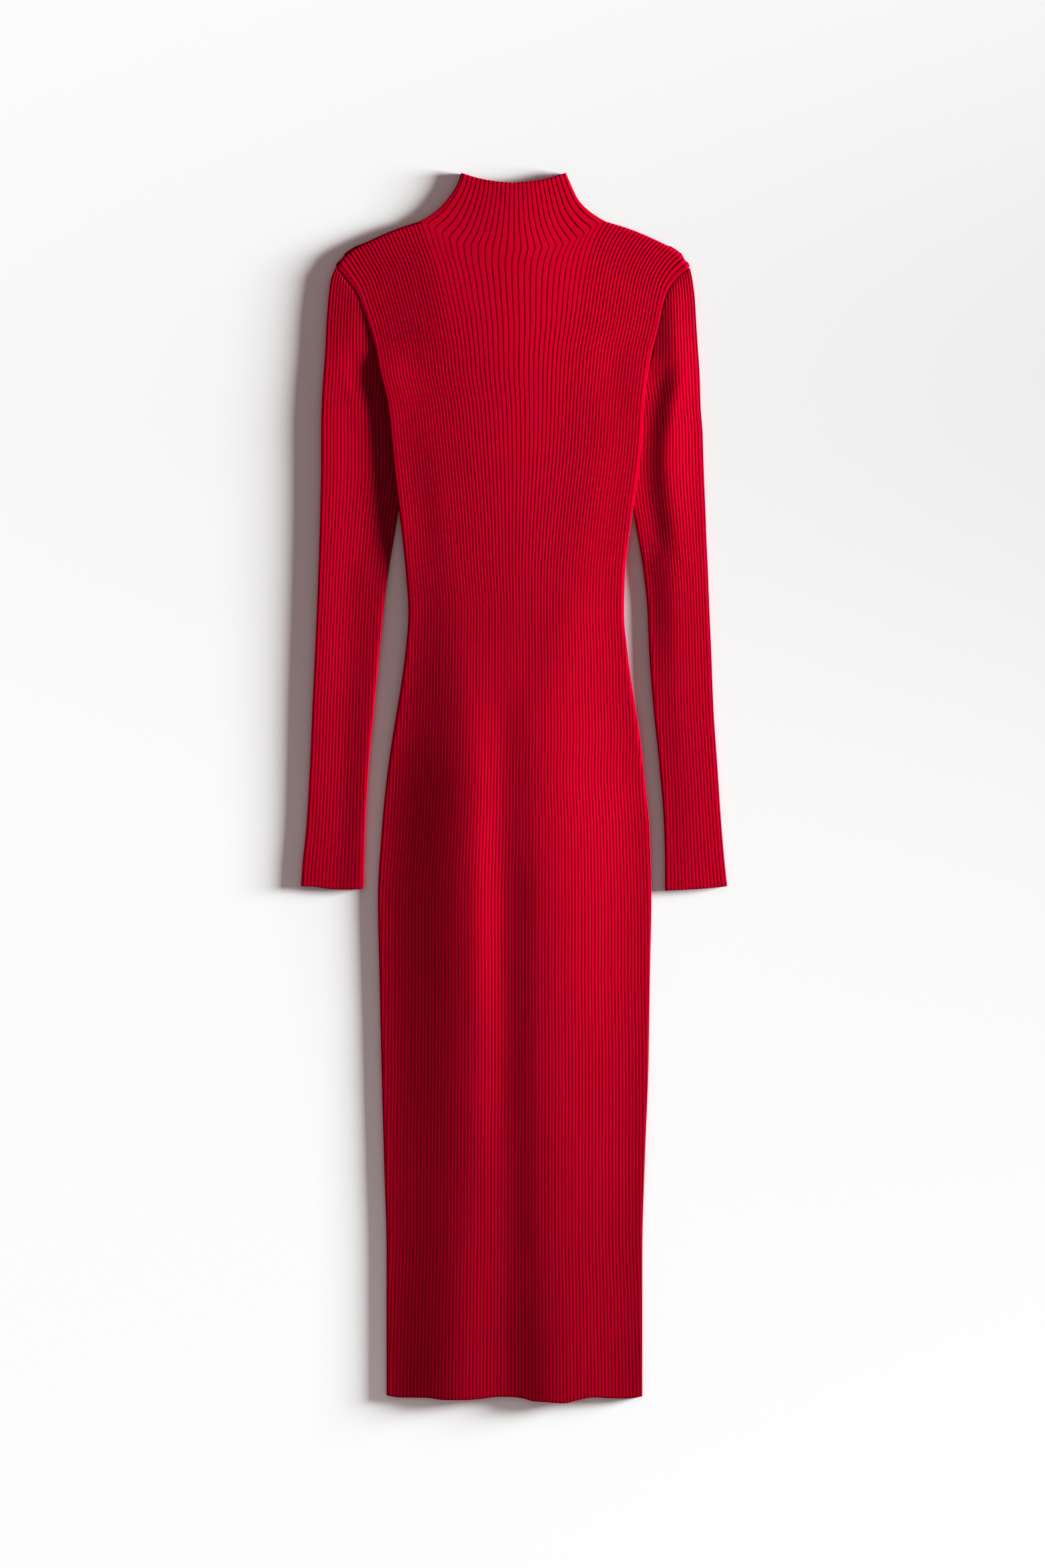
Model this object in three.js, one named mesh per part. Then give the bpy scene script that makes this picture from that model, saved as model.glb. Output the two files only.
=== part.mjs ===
import * as THREE from "three";

// A rib-knit dress with long sleeves and a high grown-on neck, laid flat on its back.
// Millimetres. +X is the right of the laid dress as seen from above, +Y runs to the neck, +Z is up.
// Front and back are walls that lie on each other, joined at the sides and the shoulders.
// Each sleeve is a flattened tube. Every rib is a raised line of the outer points.

const CLOTH = { wall: 2.2, rib: 0.9, backWall: 1.9, sleeveTop: 1.9, sleeveFloor: 1.6, gap: 0.3 };
const FLAT = { top: 7.3, seam: 4, round: 5.5, lift: 4.6, lifted: 9.5, tucked: 4.2, liftWidth: 34 };
const RIBS = { half: 42, neckHalf: 13, sleeve: 24, faded: 0.12, wide: 11.5 };

// Body below the underarm. seam: height of the side seam. lift: 1 where the edge lies on a sleeve.
// ribs: how many ribs show on each half. wide: how much wider than the others the middle ribs are.
const BODY = {
  columns: ["y", "left", "right", "seam", "lift", "ribs", "wide"],
  rows: [
    [430.5, -136.5, 136.0, 3.80, 0.0, 36.0, 0.60],
    [404.0, -131.0, 131.0, 5.60, 0.7, 36.0, 0.56],
    [374.5, -124.0, 127.5, 7.00, 1.0, 36.0, 0.48],
    [335.5, -120.0, 125.0, 7.10, 1.0, 36.0, 0.38],
    [289.5, -115.0, 119.5, 7.10, 1.0, 36.0, 0.24],
    [250.0, -110.0, 113.5, 6.30, 0.8, 35.5, 0.13],
    [211.0, -106.0, 109.0, 3.60, 0.1, 35.0, 0.05],
    [171.5, -103.5, 108.0, 3.10, 0.0, 35.0, 0.00],
    [132.5, -106.5, 111.5, 3.05, 0.0, 35.7, 0.00],
    [93.0, -112.0, 117.0, 2.95, 0.0, 37.5, 0.00],
    [53.5, -118.5, 123.5, 2.70, 0.0, 39.3, 0.00],
    [8.0, -125.0, 128.5, 2.45, 0.0, 41.4, 0.03],
    [-44.5, -130.0, 133.5, 2.40, 0.0, 42.0, 0.03],
    [-110.0, -133.5, 135.0, 2.35, 0.0, 41.7, 0.00],
    [-182.0, -132.0, 133.5, 2.35, 0.0, 41.0, 0.00],
    [-274.0, -130.0, 132.0, 2.35, 0.0, 40.0, 0.00],
    [-365.5, -127.5, 128.5, 2.35, 0.0, 38.8, 0.00],
    [-457.0, -125.0, 126.0, 2.35, 0.0, 37.7, 0.00],
    [-542.5, -125.0, 126.0, 2.35, 0.0, 36.8, 0.00],
    [-595.0, -125.0, 126.0, 2.35, 0.0, 36.5, 0.00],
  ],
};

// Armhole from the shoulder tip (part 0) to the underarm (part 1), the part being measured in Y.
const ARMHOLE = {
  columns: ["part", "left", "right"],
  rows: [
    [0.000, -174.5, 172.0],
    [0.015, -173.5, 170.5],
    [0.060, -170.0, 165.5],
    [0.150, -164.5, 158.0],
    [0.300, -155.5, 150.0],
    [0.500, -149.0, 145.5],
    [0.750, -142.0, 141.5],
    [1.000, -136.5, 136.0],
  ],
};

// Shoulder line from the foot of the neck (part 0) to the shoulder tip (part 1).
const SHOULDER = {
  columns: ["part", "left", "right", "y"],
  rows: [
    [0.00, -92.0, 89.5, 556.0],
    [0.28, -115.0, 113.5, 548.5],
    [0.56, -138.5, 137.5, 538.5],
    [0.80, -158.0, 156.5, 528.5],
    [0.94, -169.5, 167.5, 519.0],
    [1.00, -174.5, 172.0, 510.0],
  ],
};

// Fold line at the foot of the neck, from the centre (part 0) to the shoulder (part 1).
const NECK_FOOT = {
  columns: ["part", "y"],
  rows: [[0.00, 528.5], [0.30, 530.0], [0.53, 533.0], [0.67, 538.5], [0.80, 546.0], [0.94, 554.0], [1.00, 556.0]],
};

// Upper edge of the neck, the part running from the centre to the corner.
const NECK_TOP = {
  columns: ["part", "y"],
  rows: [[0.00, 593.5], [0.25, 594.5], [0.50, 596.5], [0.75, 599.5], [0.92, 602.5], [1.00, 603.5]],
};

// Sides of the neck from its foot (part 0) to its upper corner (part 1).
const NECK_SIDE = {
  columns: ["part", "y", "left", "right"],
  rows: [
    [0.00, 556.0, -92.0, 89.5],
    [0.22, 566.5, -76.0, 73.5],
    [0.44, 577.0, -66.0, 63.5],
    [0.66, 587.5, -58.5, 58.0],
    [0.85, 596.5, -54.0, 54.0],
    [1.00, 603.5, -52.0, 51.0],
  ],
};

// Lower edge of the front, slightly uneven.
const HEM = {
  columns: ["x", "y"],
  rows: [
    [-125.0, -596.5], [-112.0, -598.5], [-87.0, -598.5], [-68.0, -600.5], [-50.0, -600.5], [-33.0, -599.5],
    [-16.0, -597.5], [5.0, -598.0], [18.0, -601.5], [33.0, -602.5], [49.0, -603.5], [63.0, -600.5],
    [79.0, -598.0], [93.0, -599.0], [113.0, -599.5], [126.0, -597.5],
  ],
};

// Sleeve edges. inner: the edge beside the body, hidden under it where tuck is 1.
// ribs: how many ribs show across the sleeve at that height.
const SLEEVE_LEFT = {
  columns: ["y", "outer", "inner", "tuck", "ribs"],
  rows: [
    [510.0, -175.5, -137.0, 0.0, 15.0],
    [499.0, -180.0, -137.0, 0.0, 15.0],
    [479.5, -182.5, -137.0, 0.0, 15.0],
    [453.5, -184.5, -137.0, 0.0, 15.0],
    [430.0, -185.5, -137.4, 0.2, 15.0],
    [407.5, -187.0, -132.6, 0.7, 17.0],
    [394.5, -188.0, -129.0, 1.0, 18.5],
    [374.5, -189.0, -118.0, 1.0, 22.0],
    [348.5, -189.5, -111.0, 1.0, 23.5],
    [315.5, -189.5, -109.0, 1.0, 24.0],
    [289.5, -190.0, -111.0, 1.0, 24.0],
    [266.5, -190.5, -114.5, 1.0, 24.0],
    [250.0, -191.0, -117.0, 0.9, 23.8],
    [217.5, -192.0, -122.5, 0.1, 23.2],
    [178.0, -193.5, -127.5, 0.0, 22.4],
    [132.5, -195.5, -132.0, 0.0, 21.3],
    [80.0, -198.0, -137.0, 0.0, 19.8],
    [21.0, -200.5, -142.5, 0.0, 18.2],
    [-38.0, -204.0, -146.0, 0.0, 17.3],
    [-77.5, -208.0, -147.0, 0.0, 17.0],
    [-100.0, -209.5, -147.5, 0.0, 17.0],
  ],
};

const SLEEVE_RIGHT = {
  columns: ["y", "outer", "inner", "tuck", "ribs"],
  rows: [
    [510.0, 173.0, 136.5, 0.0, 14.5],
    [499.0, 175.5, 136.5, 0.0, 14.5],
    [479.5, 178.0, 136.5, 0.0, 14.5],
    [453.5, 179.5, 136.5, 0.0, 14.5],
    [430.0, 181.0, 136.9, 0.2, 14.5],
    [407.5, 182.5, 132.6, 0.7, 16.5],
    [394.5, 183.0, 130.0, 1.0, 18.0],
    [374.5, 183.5, 121.5, 1.0, 21.5],
    [348.5, 185.5, 115.5, 1.0, 23.5],
    [315.5, 186.5, 112.5, 1.0, 24.0],
    [289.5, 187.5, 114.5, 1.0, 24.0],
    [266.5, 188.5, 118.0, 1.0, 24.0],
    [250.0, 189.0, 121.0, 0.9, 23.8],
    [217.5, 190.5, 126.5, 0.1, 23.2],
    [178.0, 192.0, 131.0, 0.0, 22.4],
    [132.5, 194.0, 133.0, 0.0, 21.3],
    [80.0, 196.0, 137.0, 0.0, 19.8],
    [21.0, 200.0, 143.0, 0.0, 18.2],
    [-38.0, 204.0, 147.5, 0.0, 17.3],
    [-77.5, 207.5, 148.5, 0.0, 17.0],
    [-100.0, 210.0, 148.5, 0.0, 17.0],
  ],
};

// Lower edge of each cuff, the part running from the outer to the inner edge.
const CUFFS = {
  columns: ["part", "left", "right"],
  rows: [[0.0, -96.5, -96.5], [0.2, -97.0, -98.0], [0.5, -99.5, -99.5], [0.8, -100.0, -100.5], [1.0, -99.0, -101.0]],
};

// How the front lies: the height of its ribs across the body, from the floor. A soft ridge and
// a soft crest run down it with a valley between; flank is the height near both side edges.
const LAY = {
  columns: ["y", "flank", "ridgeX", "ridge", "valleyX", "valley", "crestX", "crest"],
  rows: [
    [556.0, 7.30, -40, 7.30, 0, 7.30, 45, 7.30],
    [492.5, 7.10, -45, 7.60, 0, 7.70, 45, 7.40],
    [427.0, 6.60, -75, 7.70, 0, 7.80, 70, 7.80],
    [368.0, 6.20, -72, 7.55, 0, 8.05, 60, 8.00],
    [315.5, 6.10, -68, 7.60, -8, 8.05, 45, 8.00],
    [250.0, 6.00, -55, 7.80, -8, 8.05, 30, 7.95],
    [184.5, 6.00, -38, 7.95, -8, 8.05, 25, 8.00],
    [119.0, 5.80, -40, 7.85, -8, 8.00, 24, 8.05],
    [53.5, 5.00, -40, 8.05, -9, 7.50, 20, 7.80],
    [8.0, 4.70, -40, 8.05, -9, 7.40, 20, 7.60],
    [-44.5, 4.60, -41, 8.05, -10, 7.20, 22, 7.55],
    [-110.0, 4.60, -41, 8.05, -8, 6.95, 26, 7.55],
    [-175.5, 4.60, -40, 8.00, -9, 6.80, 25, 7.45],
    [-241.0, 4.60, -39, 7.80, -8, 7.00, 24, 7.70],
    [-306.5, 4.60, -41, 7.60, -9, 6.85, 25, 7.50],
    [-372.0, 4.60, -40, 7.30, -8, 6.95, 26, 7.55],
    [-437.5, 4.60, -47, 7.05, -7, 6.55, 27, 7.25],
    [-503.0, 4.60, -53, 7.05, -8, 6.25, 32, 7.10],
    [-555.5, 4.60, -56, 7.10, -8, 5.95, 35, 7.10],
    [-603.5, 4.60, -56, 7.10, -8, 6.20, 37, 7.40],
  ],
};

// Height of the ribs of both sleeves at their outer edge, half way across and at the inner edge.
const SLEEVE_LAY = {
  columns: ["y", "outer", "middle", "inner"],
  rows: [
    [510.0, 7.30, 7.30, 7.30],
    [430.0, 6.90, 6.90, 6.80],
    [394.5, 6.40, 5.80, 4.60],
    [348.5, 6.10, 5.10, 4.20],
    [250.0, 5.90, 4.80, 4.20],
    [80.0, 5.80, 4.60, 4.20],
    [-100.0, 5.50, 4.60, 4.20],
  ],
};

const clamp = (v, low, high) => Math.min(high, Math.max(low, v));
const lerp = (a, b, t) => a + (b - a) * t;
const soft = (t) => { const c = clamp(t, 0, 1); return c * c * (3 - 2 * c); };

// Value of one named column where another named column has the value at.
function read(table, key, at, name) {
  const k = table.columns.indexOf(key);
  const n = table.columns.indexOf(name);
  const rows = table.rows;
  const up = rows[rows.length - 1][k] > rows[0][k];
  let i = 0;
  while (i < rows.length - 2 && (up ? rows[i + 1][k] < at : rows[i + 1][k] > at)) i += 1;
  const t = clamp((at - rows[i][k]) / (rows[i + 1][k] - rows[i][k]), 0, 1);
  return lerp(rows[i][n], rows[i + 1][n], t);
}

const UNDERARM_Y = BODY.rows[0][0];
const TIP_Y = SHOULDER.rows[SHOULDER.rows.length - 1][3];

// Place of the body's side edge at one height.
function edgeX(side, y) {
  const name = side < 0 ? "left" : "right";
  if (y < UNDERARM_Y) return read(BODY, "y", y, name);
  return read(ARMHOLE, "part", clamp((TIP_Y - y) / (TIP_Y - UNDERARM_Y), 0, 1), name);
}

// Smooth curve through points with rising x that never swings past them.
function through(xs, zs, x) {
  const last = xs.length - 1;
  const at = clamp(x, xs[0], xs[last]);
  const slope = (i) => (zs[i + 1] - zs[i]) / (xs[i + 1] - xs[i]);
  const lean = (i) => {
    if (i === 0 || i === last || slope(i - 1) * slope(i) <= 0) return 0;
    return (2 * slope(i - 1) * slope(i)) / (slope(i - 1) + slope(i));
  };
  let i = 0;
  while (i < last - 1 && xs[i + 1] < at) i += 1;
  const span = xs[i + 1] - xs[i];
  const t = (at - xs[i]) / span;
  const s = 1 - t;
  const start = (1 + 2 * t) * s * s * zs[i] + t * s * s * span * lean(i);
  return start + t * t * (3 - 2 * t) * zs[i + 1] - t * t * s * span * lean(i + 1);
}

// Height of the front's ribs above the floor where no sleeve lifts it.
function layHeight(x, y) {
  const at = (name) => read(LAY, "y", y, name);
  const places = [edgeX(-1, y), at("ridgeX"), at("valleyX"), at("crestX"), edgeX(1, y)];
  return through(places, [at("flank"), at("ridge"), at("valley"), at("crest"), at("flank")], x);
}

// The sewn outline of the body: where its front and back meet, or where a sleeve meets them.
// join is 1 on a closed seam and 0 along the armhole, where the walls stay apart.
function bodyOutline(side) {
  const points = [];
  for (const [y, left, right, seam, lift] of [...BODY.rows].reverse()) {
    const join = soft((UNDERARM_Y - y) / 26);
    points.push({ x: side < 0 ? left : right, y, seam, lift, join });
  }
  for (const [part, left, right] of [...ARMHOLE.rows].reverse().slice(1)) {
    const y = lerp(TIP_Y, UNDERARM_Y, part);
    points.push({ x: side < 0 ? left : right, y, seam: FLAT.seam, lift: 0, join: part === 0 ? 1 : 0 });
  }
  for (const [part, left, right, y] of [...SHOULDER.rows].reverse().slice(1)) {
    points.push({ x: side < 0 ? left : right, y, seam: FLAT.seam, lift: 0, join: 1 });
  }
  for (const [part, y, left, right] of NECK_SIDE.rows.slice(1)) {
    points.push({ x: side < 0 ? left : right, y, seam: FLAT.seam, lift: 0, join: 1 });
  }
  return points;
}

// Nearest point of an outline: distance d, the unit vector inwards and the values there.
function nearest(outline, side, x, y) {
  let best = null;
  for (let i = 0; i + 1 < outline.length; i += 1) {
    const a = outline[i];
    const b = outline[i + 1];
    const dx = b.x - a.x;
    const dy = b.y - a.y;
    const t = clamp(((x - a.x) * dx + (y - a.y) * dy) / (dx * dx + dy * dy), 0, 1);
    const gx = x - lerp(a.x, b.x, t);
    const gy = y - lerp(a.y, b.y, t);
    const d = Math.hypot(gx, gy);
    if (!best || d < best.d - 1e-6) {
      const length = Math.hypot(dx, dy);
      const inward = d > 0.05 ? [gx / d, gy / d] : [-side * dy / length, side * dx / length];
      best = { d, inward, seam: lerp(a.seam, b.seam, t), lift: lerp(a.lift, b.lift, t), join: lerp(a.join, b.join, t) };
    }
  }
  return best;
}

const OUTLINES = [{ side: -1, points: bodyOutline(-1) }, { side: 1, points: bodyOutline(1) }];

// Heights of the four faces of the body at one place, and how the edge rounds off there.
function bodyAt(x, y) {
  const found = OUTLINES.map((o) => nearest(o.points, o.side, x, y));
  const near = found[0].d < found[1].d ? found[0] : found[1];
  const lifted = near.lift * (1 - soft((near.d - 8) / FLAT.liftWidth));
  const floor = FLAT.lift * lifted;
  const top = lerp(layHeight(x, y), FLAT.lifted, lifted);
  const e = near.join > 0 ? clamp(1 - near.d / FLAT.round, 0, 1) : 0;
  const sine = Math.sqrt(1 - e * e);
  const frontDrop = (top - near.seam - CLOTH.gap / 2) * near.join;
  const backRise = (near.seam - CLOTH.gap / 2 - floor) * near.join;
  const turn = clamp(frontDrop / (1.2 * CLOTH.wall), 0, 1);
  return { near, floor, top, e, sine, frontDrop, backRise, turn };
}

// Outer point of the front: groove is 0 on a rib's crest and 1 in the groove beside it.
function frontOuter(x, y, groove) {
  const s = bodyAt(x, y);
  const out = s.frontDrop * s.e;
  const up = FLAT.round * (s.sine + 1 - s.turn) + 0.01;
  const length = Math.hypot(out, up);
  const depth = groove * CLOTH.rib;
  return [
    x + (s.near.inward[0] * out / length) * depth,
    y + (s.near.inward[1] * out / length) * depth,
    s.top - s.frontDrop * (1 - s.sine) - (up / length) * depth,
  ];
}

function frontInner(x, y) {
  const s = bodyAt(x, y);
  const shift = CLOTH.wall * s.turn * s.e;
  const drop = (s.frontDrop - CLOTH.wall * s.turn) * (1 - s.sine);
  return [x + s.near.inward[0] * shift, y + s.near.inward[1] * shift, s.top - CLOTH.wall - drop];
}

function backOuter(x, y) {
  const s = bodyAt(x, y);
  return [x, y, s.floor + s.backRise * (1 - s.sine)];
}

function backInner(x, y) {
  const s = bodyAt(x, y);
  const shift = CLOTH.wall * s.turn * s.e;
  const seamTop = s.near.seam - CLOTH.gap / 2 - CLOTH.wall * (1 - s.turn);
  const rise = (seamTop - s.floor - CLOTH.backWall) * s.near.join;
  const z = s.floor + CLOTH.backWall + rise * (1 - s.sine);
  return [x + s.near.inward[0] * shift, y + s.near.inward[1] * shift, z];
}

// Part of the half width reached at rib n, counted from the centre. Ribs that are not yet
// there at this height are squeezed into the side seam.
function ribShare(n, ribs, wide) {
  let total = 0;
  let here = 0;
  for (let i = 0; i < RIBS.half; i += 1) {
    const stretch = 1 + wide * Math.exp(-(((i + 0.5) / RIBS.wide) ** 2));
    const weight = clamp(ribs - i, RIBS.faded, 1) * stretch;
    total += weight;
    here += weight * clamp(n - i, 0, 1);
  }
  return here / total;
}

// Turns a part of the way round the cloth, from centre to seam, into a part of the flat width.
function squash(part, half, drop) {
  const round = FLAT.round;
  const arc = round + 0.45 * drop;
  const way = part * (half - round + arc);
  if (way <= half - round) return way / half;
  const turn = clamp((way - half + round) / arc, 0, 1);
  const bend = lerp(turn, Math.sin((turn * Math.PI) / 2), clamp(drop / 2, 0, 1));
  return (half - round + round * bend) / half;
}

// Rows of the body from hem to shoulder. Each gives the plan place of rib n on one side.
function bodyRows() {
  const rows = [];
  const last = BODY.rows.length - 1;
  for (let r = last; r >= 0; r -= 1) {
    const [y, left, right, , , ribs, wide] = BODY.rows[r];
    const mid = (left + right) / 2;
    const half = (right - left) / 2;
    rows.push((n, side) => {
      const part = squash(ribShare(n, ribs, wide), half, r === 0 ? 0 : 3.5);
      const x = mid + side * half * part;
      return [x, r === last ? read(HEM, "x", x, "y") : y];
    });
  }
  const [, , , , , ribs0, wide0] = BODY.rows[0];
  for (const [part, left, right] of [...ARMHOLE.rows].reverse().slice(1)) {
    const mid = (left + right) / 2;
    const half = (right - left) / 2;
    rows.push((n, side) => {
      const top = shoulderAt(n, side, ribs0, wide0);
      const topPart = Math.abs((top[0] - SHOULDER_MID) / SHOULDER_HALF);
      const x = mid + side * half * lerp(topPart, ribShare(n, ribs0, wide0), part);
      return [part === 0 ? top[0] : x, lerp(top[1], UNDERARM_Y, part)];
    });
  }
  return rows;
}

const SHOULDER_MID = (ARMHOLE.rows[0][1] + ARMHOLE.rows[0][2]) / 2;
const SHOULDER_HALF = (ARMHOLE.rows[0][2] - ARMHOLE.rows[0][1]) / 2;

// Top end of rib n where the body stops: the neck's foot for inner ribs, the shoulder for others.
function shoulderAt(n, side, ribs, wide) {
  const name = side < 0 ? "left" : "right";
  if (n <= RIBS.neckHalf) {
    const part = n / RIBS.neckHalf;
    return [part * read(SHOULDER, "part", 0, name), read(NECK_FOOT, "part", part, "y")];
  }
  const whole = ribShare(n, ribs, wide);
  const start = ribShare(RIBS.neckHalf, ribs, wide);
  const part = (whole - start) / (1 - start);
  return [read(SHOULDER, "part", part, name), read(SHOULDER, "part", part, "y")];
}

// Rows of the neck above its foot, for the ribs that run up into it.
function neckRows() {
  return [0.22, 0.44, 0.66, 0.85, 1].map((rise) => (n, side) => {
    const name = side < 0 ? "left" : "right";
    const part = n / RIBS.neckHalf;
    const half = Math.abs(read(NECK_SIDE, "part", rise, name));
    const x = side * half * squash(part, half, 3.3);
    const foot = read(NECK_FOOT, "part", part, "y");
    const top = read(NECK_TOP, "part", part, "y");
    const edge = (read(NECK_SIDE, "part", rise, "y") - 556) / (603.5 - 556);
    return [x, lerp(foot, top, edge)];
  });
}

// Collects triangles over shared points and hands them over as a mesh.
class Shell {
  constructor() {
    this.points = [];
    this.faces = [];
  }

  add(p) {
    this.points.push(p[0], p[1], p[2]);
    return this.points.length / 3 - 1;
  }

  face(a, b, c) {
    if (a !== b && b !== c && a !== c) this.faces.push(a, b, c);
  }

  // Sheet between two rows of points that match one to one.
  quads(low, high, flip) {
    for (let i = 0; i + 1 < low.length; i += 1) {
      const [a, b, c, d] = [low[i], low[i + 1], high[i + 1], high[i]];
      if (flip) { this.face(a, c, b); this.face(a, d, c); } else { this.face(a, b, c); this.face(a, c, d); }
    }
  }

  // Band between two rows of unlike counts. Each row is a list of { id, at } with at rising.
  band(low, high) {
    let i = 0;
    let j = 0;
    while (i + 1 < low.length || j + 1 < high.length) {
      const stepLow = j + 1 >= high.length || (i + 1 < low.length && low[i + 1].at <= high[j + 1].at + 1e-9);
      if (stepLow) { this.face(low[i].id, low[i + 1].id, high[j].id); i += 1; } else {
        this.face(low[i].id, high[j + 1].id, high[j].id);
        j += 1;
      }
    }
  }

  mesh(name, colour) {
    const geometry = new THREE.BufferGeometry();
    geometry.setAttribute("position", new THREE.Float32BufferAttribute(this.points, 3));
    geometry.setIndex(this.faces);
    geometry.computeVertexNormals();
    const material = new THREE.MeshStandardMaterial({ color: colour, roughness: 0.9, metalness: 0 });
    const mesh = new THREE.Mesh(geometry, material);
    mesh.name = name;
    return mesh;
  }
}

// A body panel: an outer sheet and an inner sheet over the same rows, closed all round.
// Columns are signed rib numbers from the left seam to the right one.
function panel(name, colour, outer, inner, outerColumns, innerColumns, facesDown) {
  const shell = new Shell();
  const body = bodyRows();
  const neck = neckRows();
  const sheet = (columns, place) => {
    const low = body.map((row) => columns.map((n) => shell.add(place(row, n))));
    const inNeck = columns.map((n, i) => ({ n, i })).filter(({ n }) => Math.abs(n) <= RIBS.neckHalf);
    const foot = inNeck.map(({ i }) => low[low.length - 1][i]);
    const high = [foot, ...neck.map((row) => inNeck.map(({ n }) => shell.add(place(row, n))))];
    return { low, high, first: inNeck[0].i, last: inNeck[inNeck.length - 1].i, columns };
  };
  const outerSheet = sheet(outerColumns, outer);
  const innerSheet = sheet(innerColumns, inner);
  const skin = (s, flip) => {
    for (let r = 0; r + 1 < s.low.length; r += 1) shell.quads(s.low[r], s.low[r + 1], flip);
    for (let r = 0; r + 1 < s.high.length; r += 1) shell.quads(s.high[r], s.high[r + 1], flip);
  };
  skin(outerSheet, facesDown);
  skin(innerSheet, !facesDown);
  const tagged = (s, ids, from) => ids.map((id, i) => ({ id, at: s.columns[from + i] }));
  const close = (a, b) => (facesDown ? shell.band(a, b) : shell.band(b, a));
  const cut = (s, from, to) => tagged(s, s.low[s.low.length - 1].slice(from, to + 1), from);
  // lower edge
  close(tagged(outerSheet, outerSheet.low[0], 0), tagged(innerSheet, innerSheet.low[0], 0));
  // shoulders and the upper edge of the neck
  const end = (s) => s.columns.length - 1;
  close(cut(innerSheet, 0, innerSheet.first), cut(outerSheet, 0, outerSheet.first));
  close(cut(innerSheet, innerSheet.last, end(innerSheet)), cut(outerSheet, outerSheet.last, end(outerSheet)));
  const crown = (s) => tagged(s, s.high[s.high.length - 1], s.first);
  close(crown(innerSheet), crown(outerSheet));
  // sides of the body and of the neck
  const edge = (rows, pick) => rows.map((row, i) => ({ id: row[pick(row)], at: i }));
  for (const part of ["low", "high"]) {
    close(edge(innerSheet[part], () => 0), edge(outerSheet[part], () => 0));
    close(edge(outerSheet[part], (row) => row.length - 1), edge(innerSheet[part], (row) => row.length - 1));
  }
  return shell.mesh(name, colour);
}

// Rib numbers with a groove at each whole number and a crest half way between.
function ribColumns(half) {
  const columns = [];
  for (let i = -2 * half; i <= 2 * half; i += 1) columns.push(i / 2);
  return columns;
}

function makeFront() {
  const place = (row, n) => {
    const [x, y] = row(Math.abs(n), Math.sign(n) || 1);
    return frontOuter(x, y, Number.isInteger(n) ? 1 : 0);
  };
  const plain = (row, n) => frontInner(...row(Math.abs(n), Math.sign(n) || 1));
  const inside = [0, 7, 13, 20, 28, 34, 36, 38, 40, 42];
  return panel("front", 0xb8001f, place, plain, ribColumns(RIBS.half), mirrored(inside), false);
}

function makeBack() {
  const outer = (row, n) => backOuter(...row(Math.abs(n), Math.sign(n) || 1));
  const inner = (row, n) => backInner(...row(Math.abs(n), Math.sign(n) || 1));
  const columns = mirrored([0, 7, 13, 21, 29, 33, 35, 36, 38, 40, 41, 42]);
  return panel("back", 0xa5001c, outer, inner, columns, mirrored([0, 7, 13, 20, 28, 34, 36, 38, 40, 42]), true);
}

function mirrored(list) {
  return [...list.slice(1).reverse().map((n) => -n), ...list];
}

// Height of a sleeve's faces at one place, from the distances to its two edges.
function sleeveAt(table, x, y) {
  const outer = Math.abs(x - read(table, "y", y, "outer"));
  const inner = Math.abs(read(table, "y", y, "inner") - x);
  const side = Math.sign(read(table, "y", y, "inner") - read(table, "y", y, "outer"));
  const tuck = read(table, "y", y, "tuck") * (1 - soft((inner - 14) / 16));
  const lay = (name) => read(SLEEVE_LAY, "y", y, name);
  const plain = through([0, 0.55, 1], [lay("outer"), lay("middle"), lay("inner")], outer / (outer + inner));
  const top = lerp(plain, Math.min(plain, FLAT.tucked), tuck);
  const atOuter = outer < inner;
  const seam = atOuter ? lay("outer") * 0.53 : Math.min(lay("inner"), top) * 0.52;
  const e = clamp(1 - Math.min(outer, inner) / FLAT.round, 0, 1);
  const sine = Math.sqrt(1 - e * e);
  const turn = clamp((top - seam) / (1.2 * CLOTH.sleeveTop), 0, 1);
  return { top, seam, e, sine, turn, inward: atOuter ? side : -side };
}

// The four faces of a sleeve: outside above and below, inside above and below.
function sleeveFaces(table) {
  const thick = CLOTH.sleeveTop;
  return {
    above: (x, y, groove) => {
      const s = sleeveAt(table, x, y);
      const out = (s.top - s.seam) * s.e;
      const up = FLAT.round * (s.sine + 1 - s.turn) + 0.01;
      const depth = (groove * CLOTH.rib * 0.85) / Math.hypot(out, up);
      return [x + s.inward * out * depth, y, s.top - (s.top - s.seam) * (1 - s.sine) - up * depth];
    },
    below: (x, y) => {
      const s = sleeveAt(table, x, y);
      return [x, y, s.seam * (1 - s.sine)];
    },
    roof: (x, y) => {
      const s = sleeveAt(table, x, y);
      const drop = (s.top - s.seam - thick * s.turn) * (1 - s.sine);
      return [x + s.inward * thick * s.turn * s.e, y, s.top - thick - drop];
    },
    floor: (x, y) => {
      const s = sleeveAt(table, x, y);
      const edge = s.seam - thick * (1 - s.turn);
      const z = CLOTH.sleeveFloor + (edge - CLOTH.sleeveFloor) * (1 - s.sine);
      return [x + s.inward * thick * s.turn * s.e, y, z];
    },
  };
}

// Part of the way across a sleeve reached at rib n, counted from its outer edge.
function sleeveShare(n, ribs) {
  let total = 0;
  let here = 0;
  for (let i = 0; i < RIBS.sleeve; i += 1) {
    const weight = clamp(ribs - i, RIBS.faded, 1);
    total += weight;
    here += weight * clamp(n - i, 0, 1);
  }
  return here / total;
}

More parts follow.
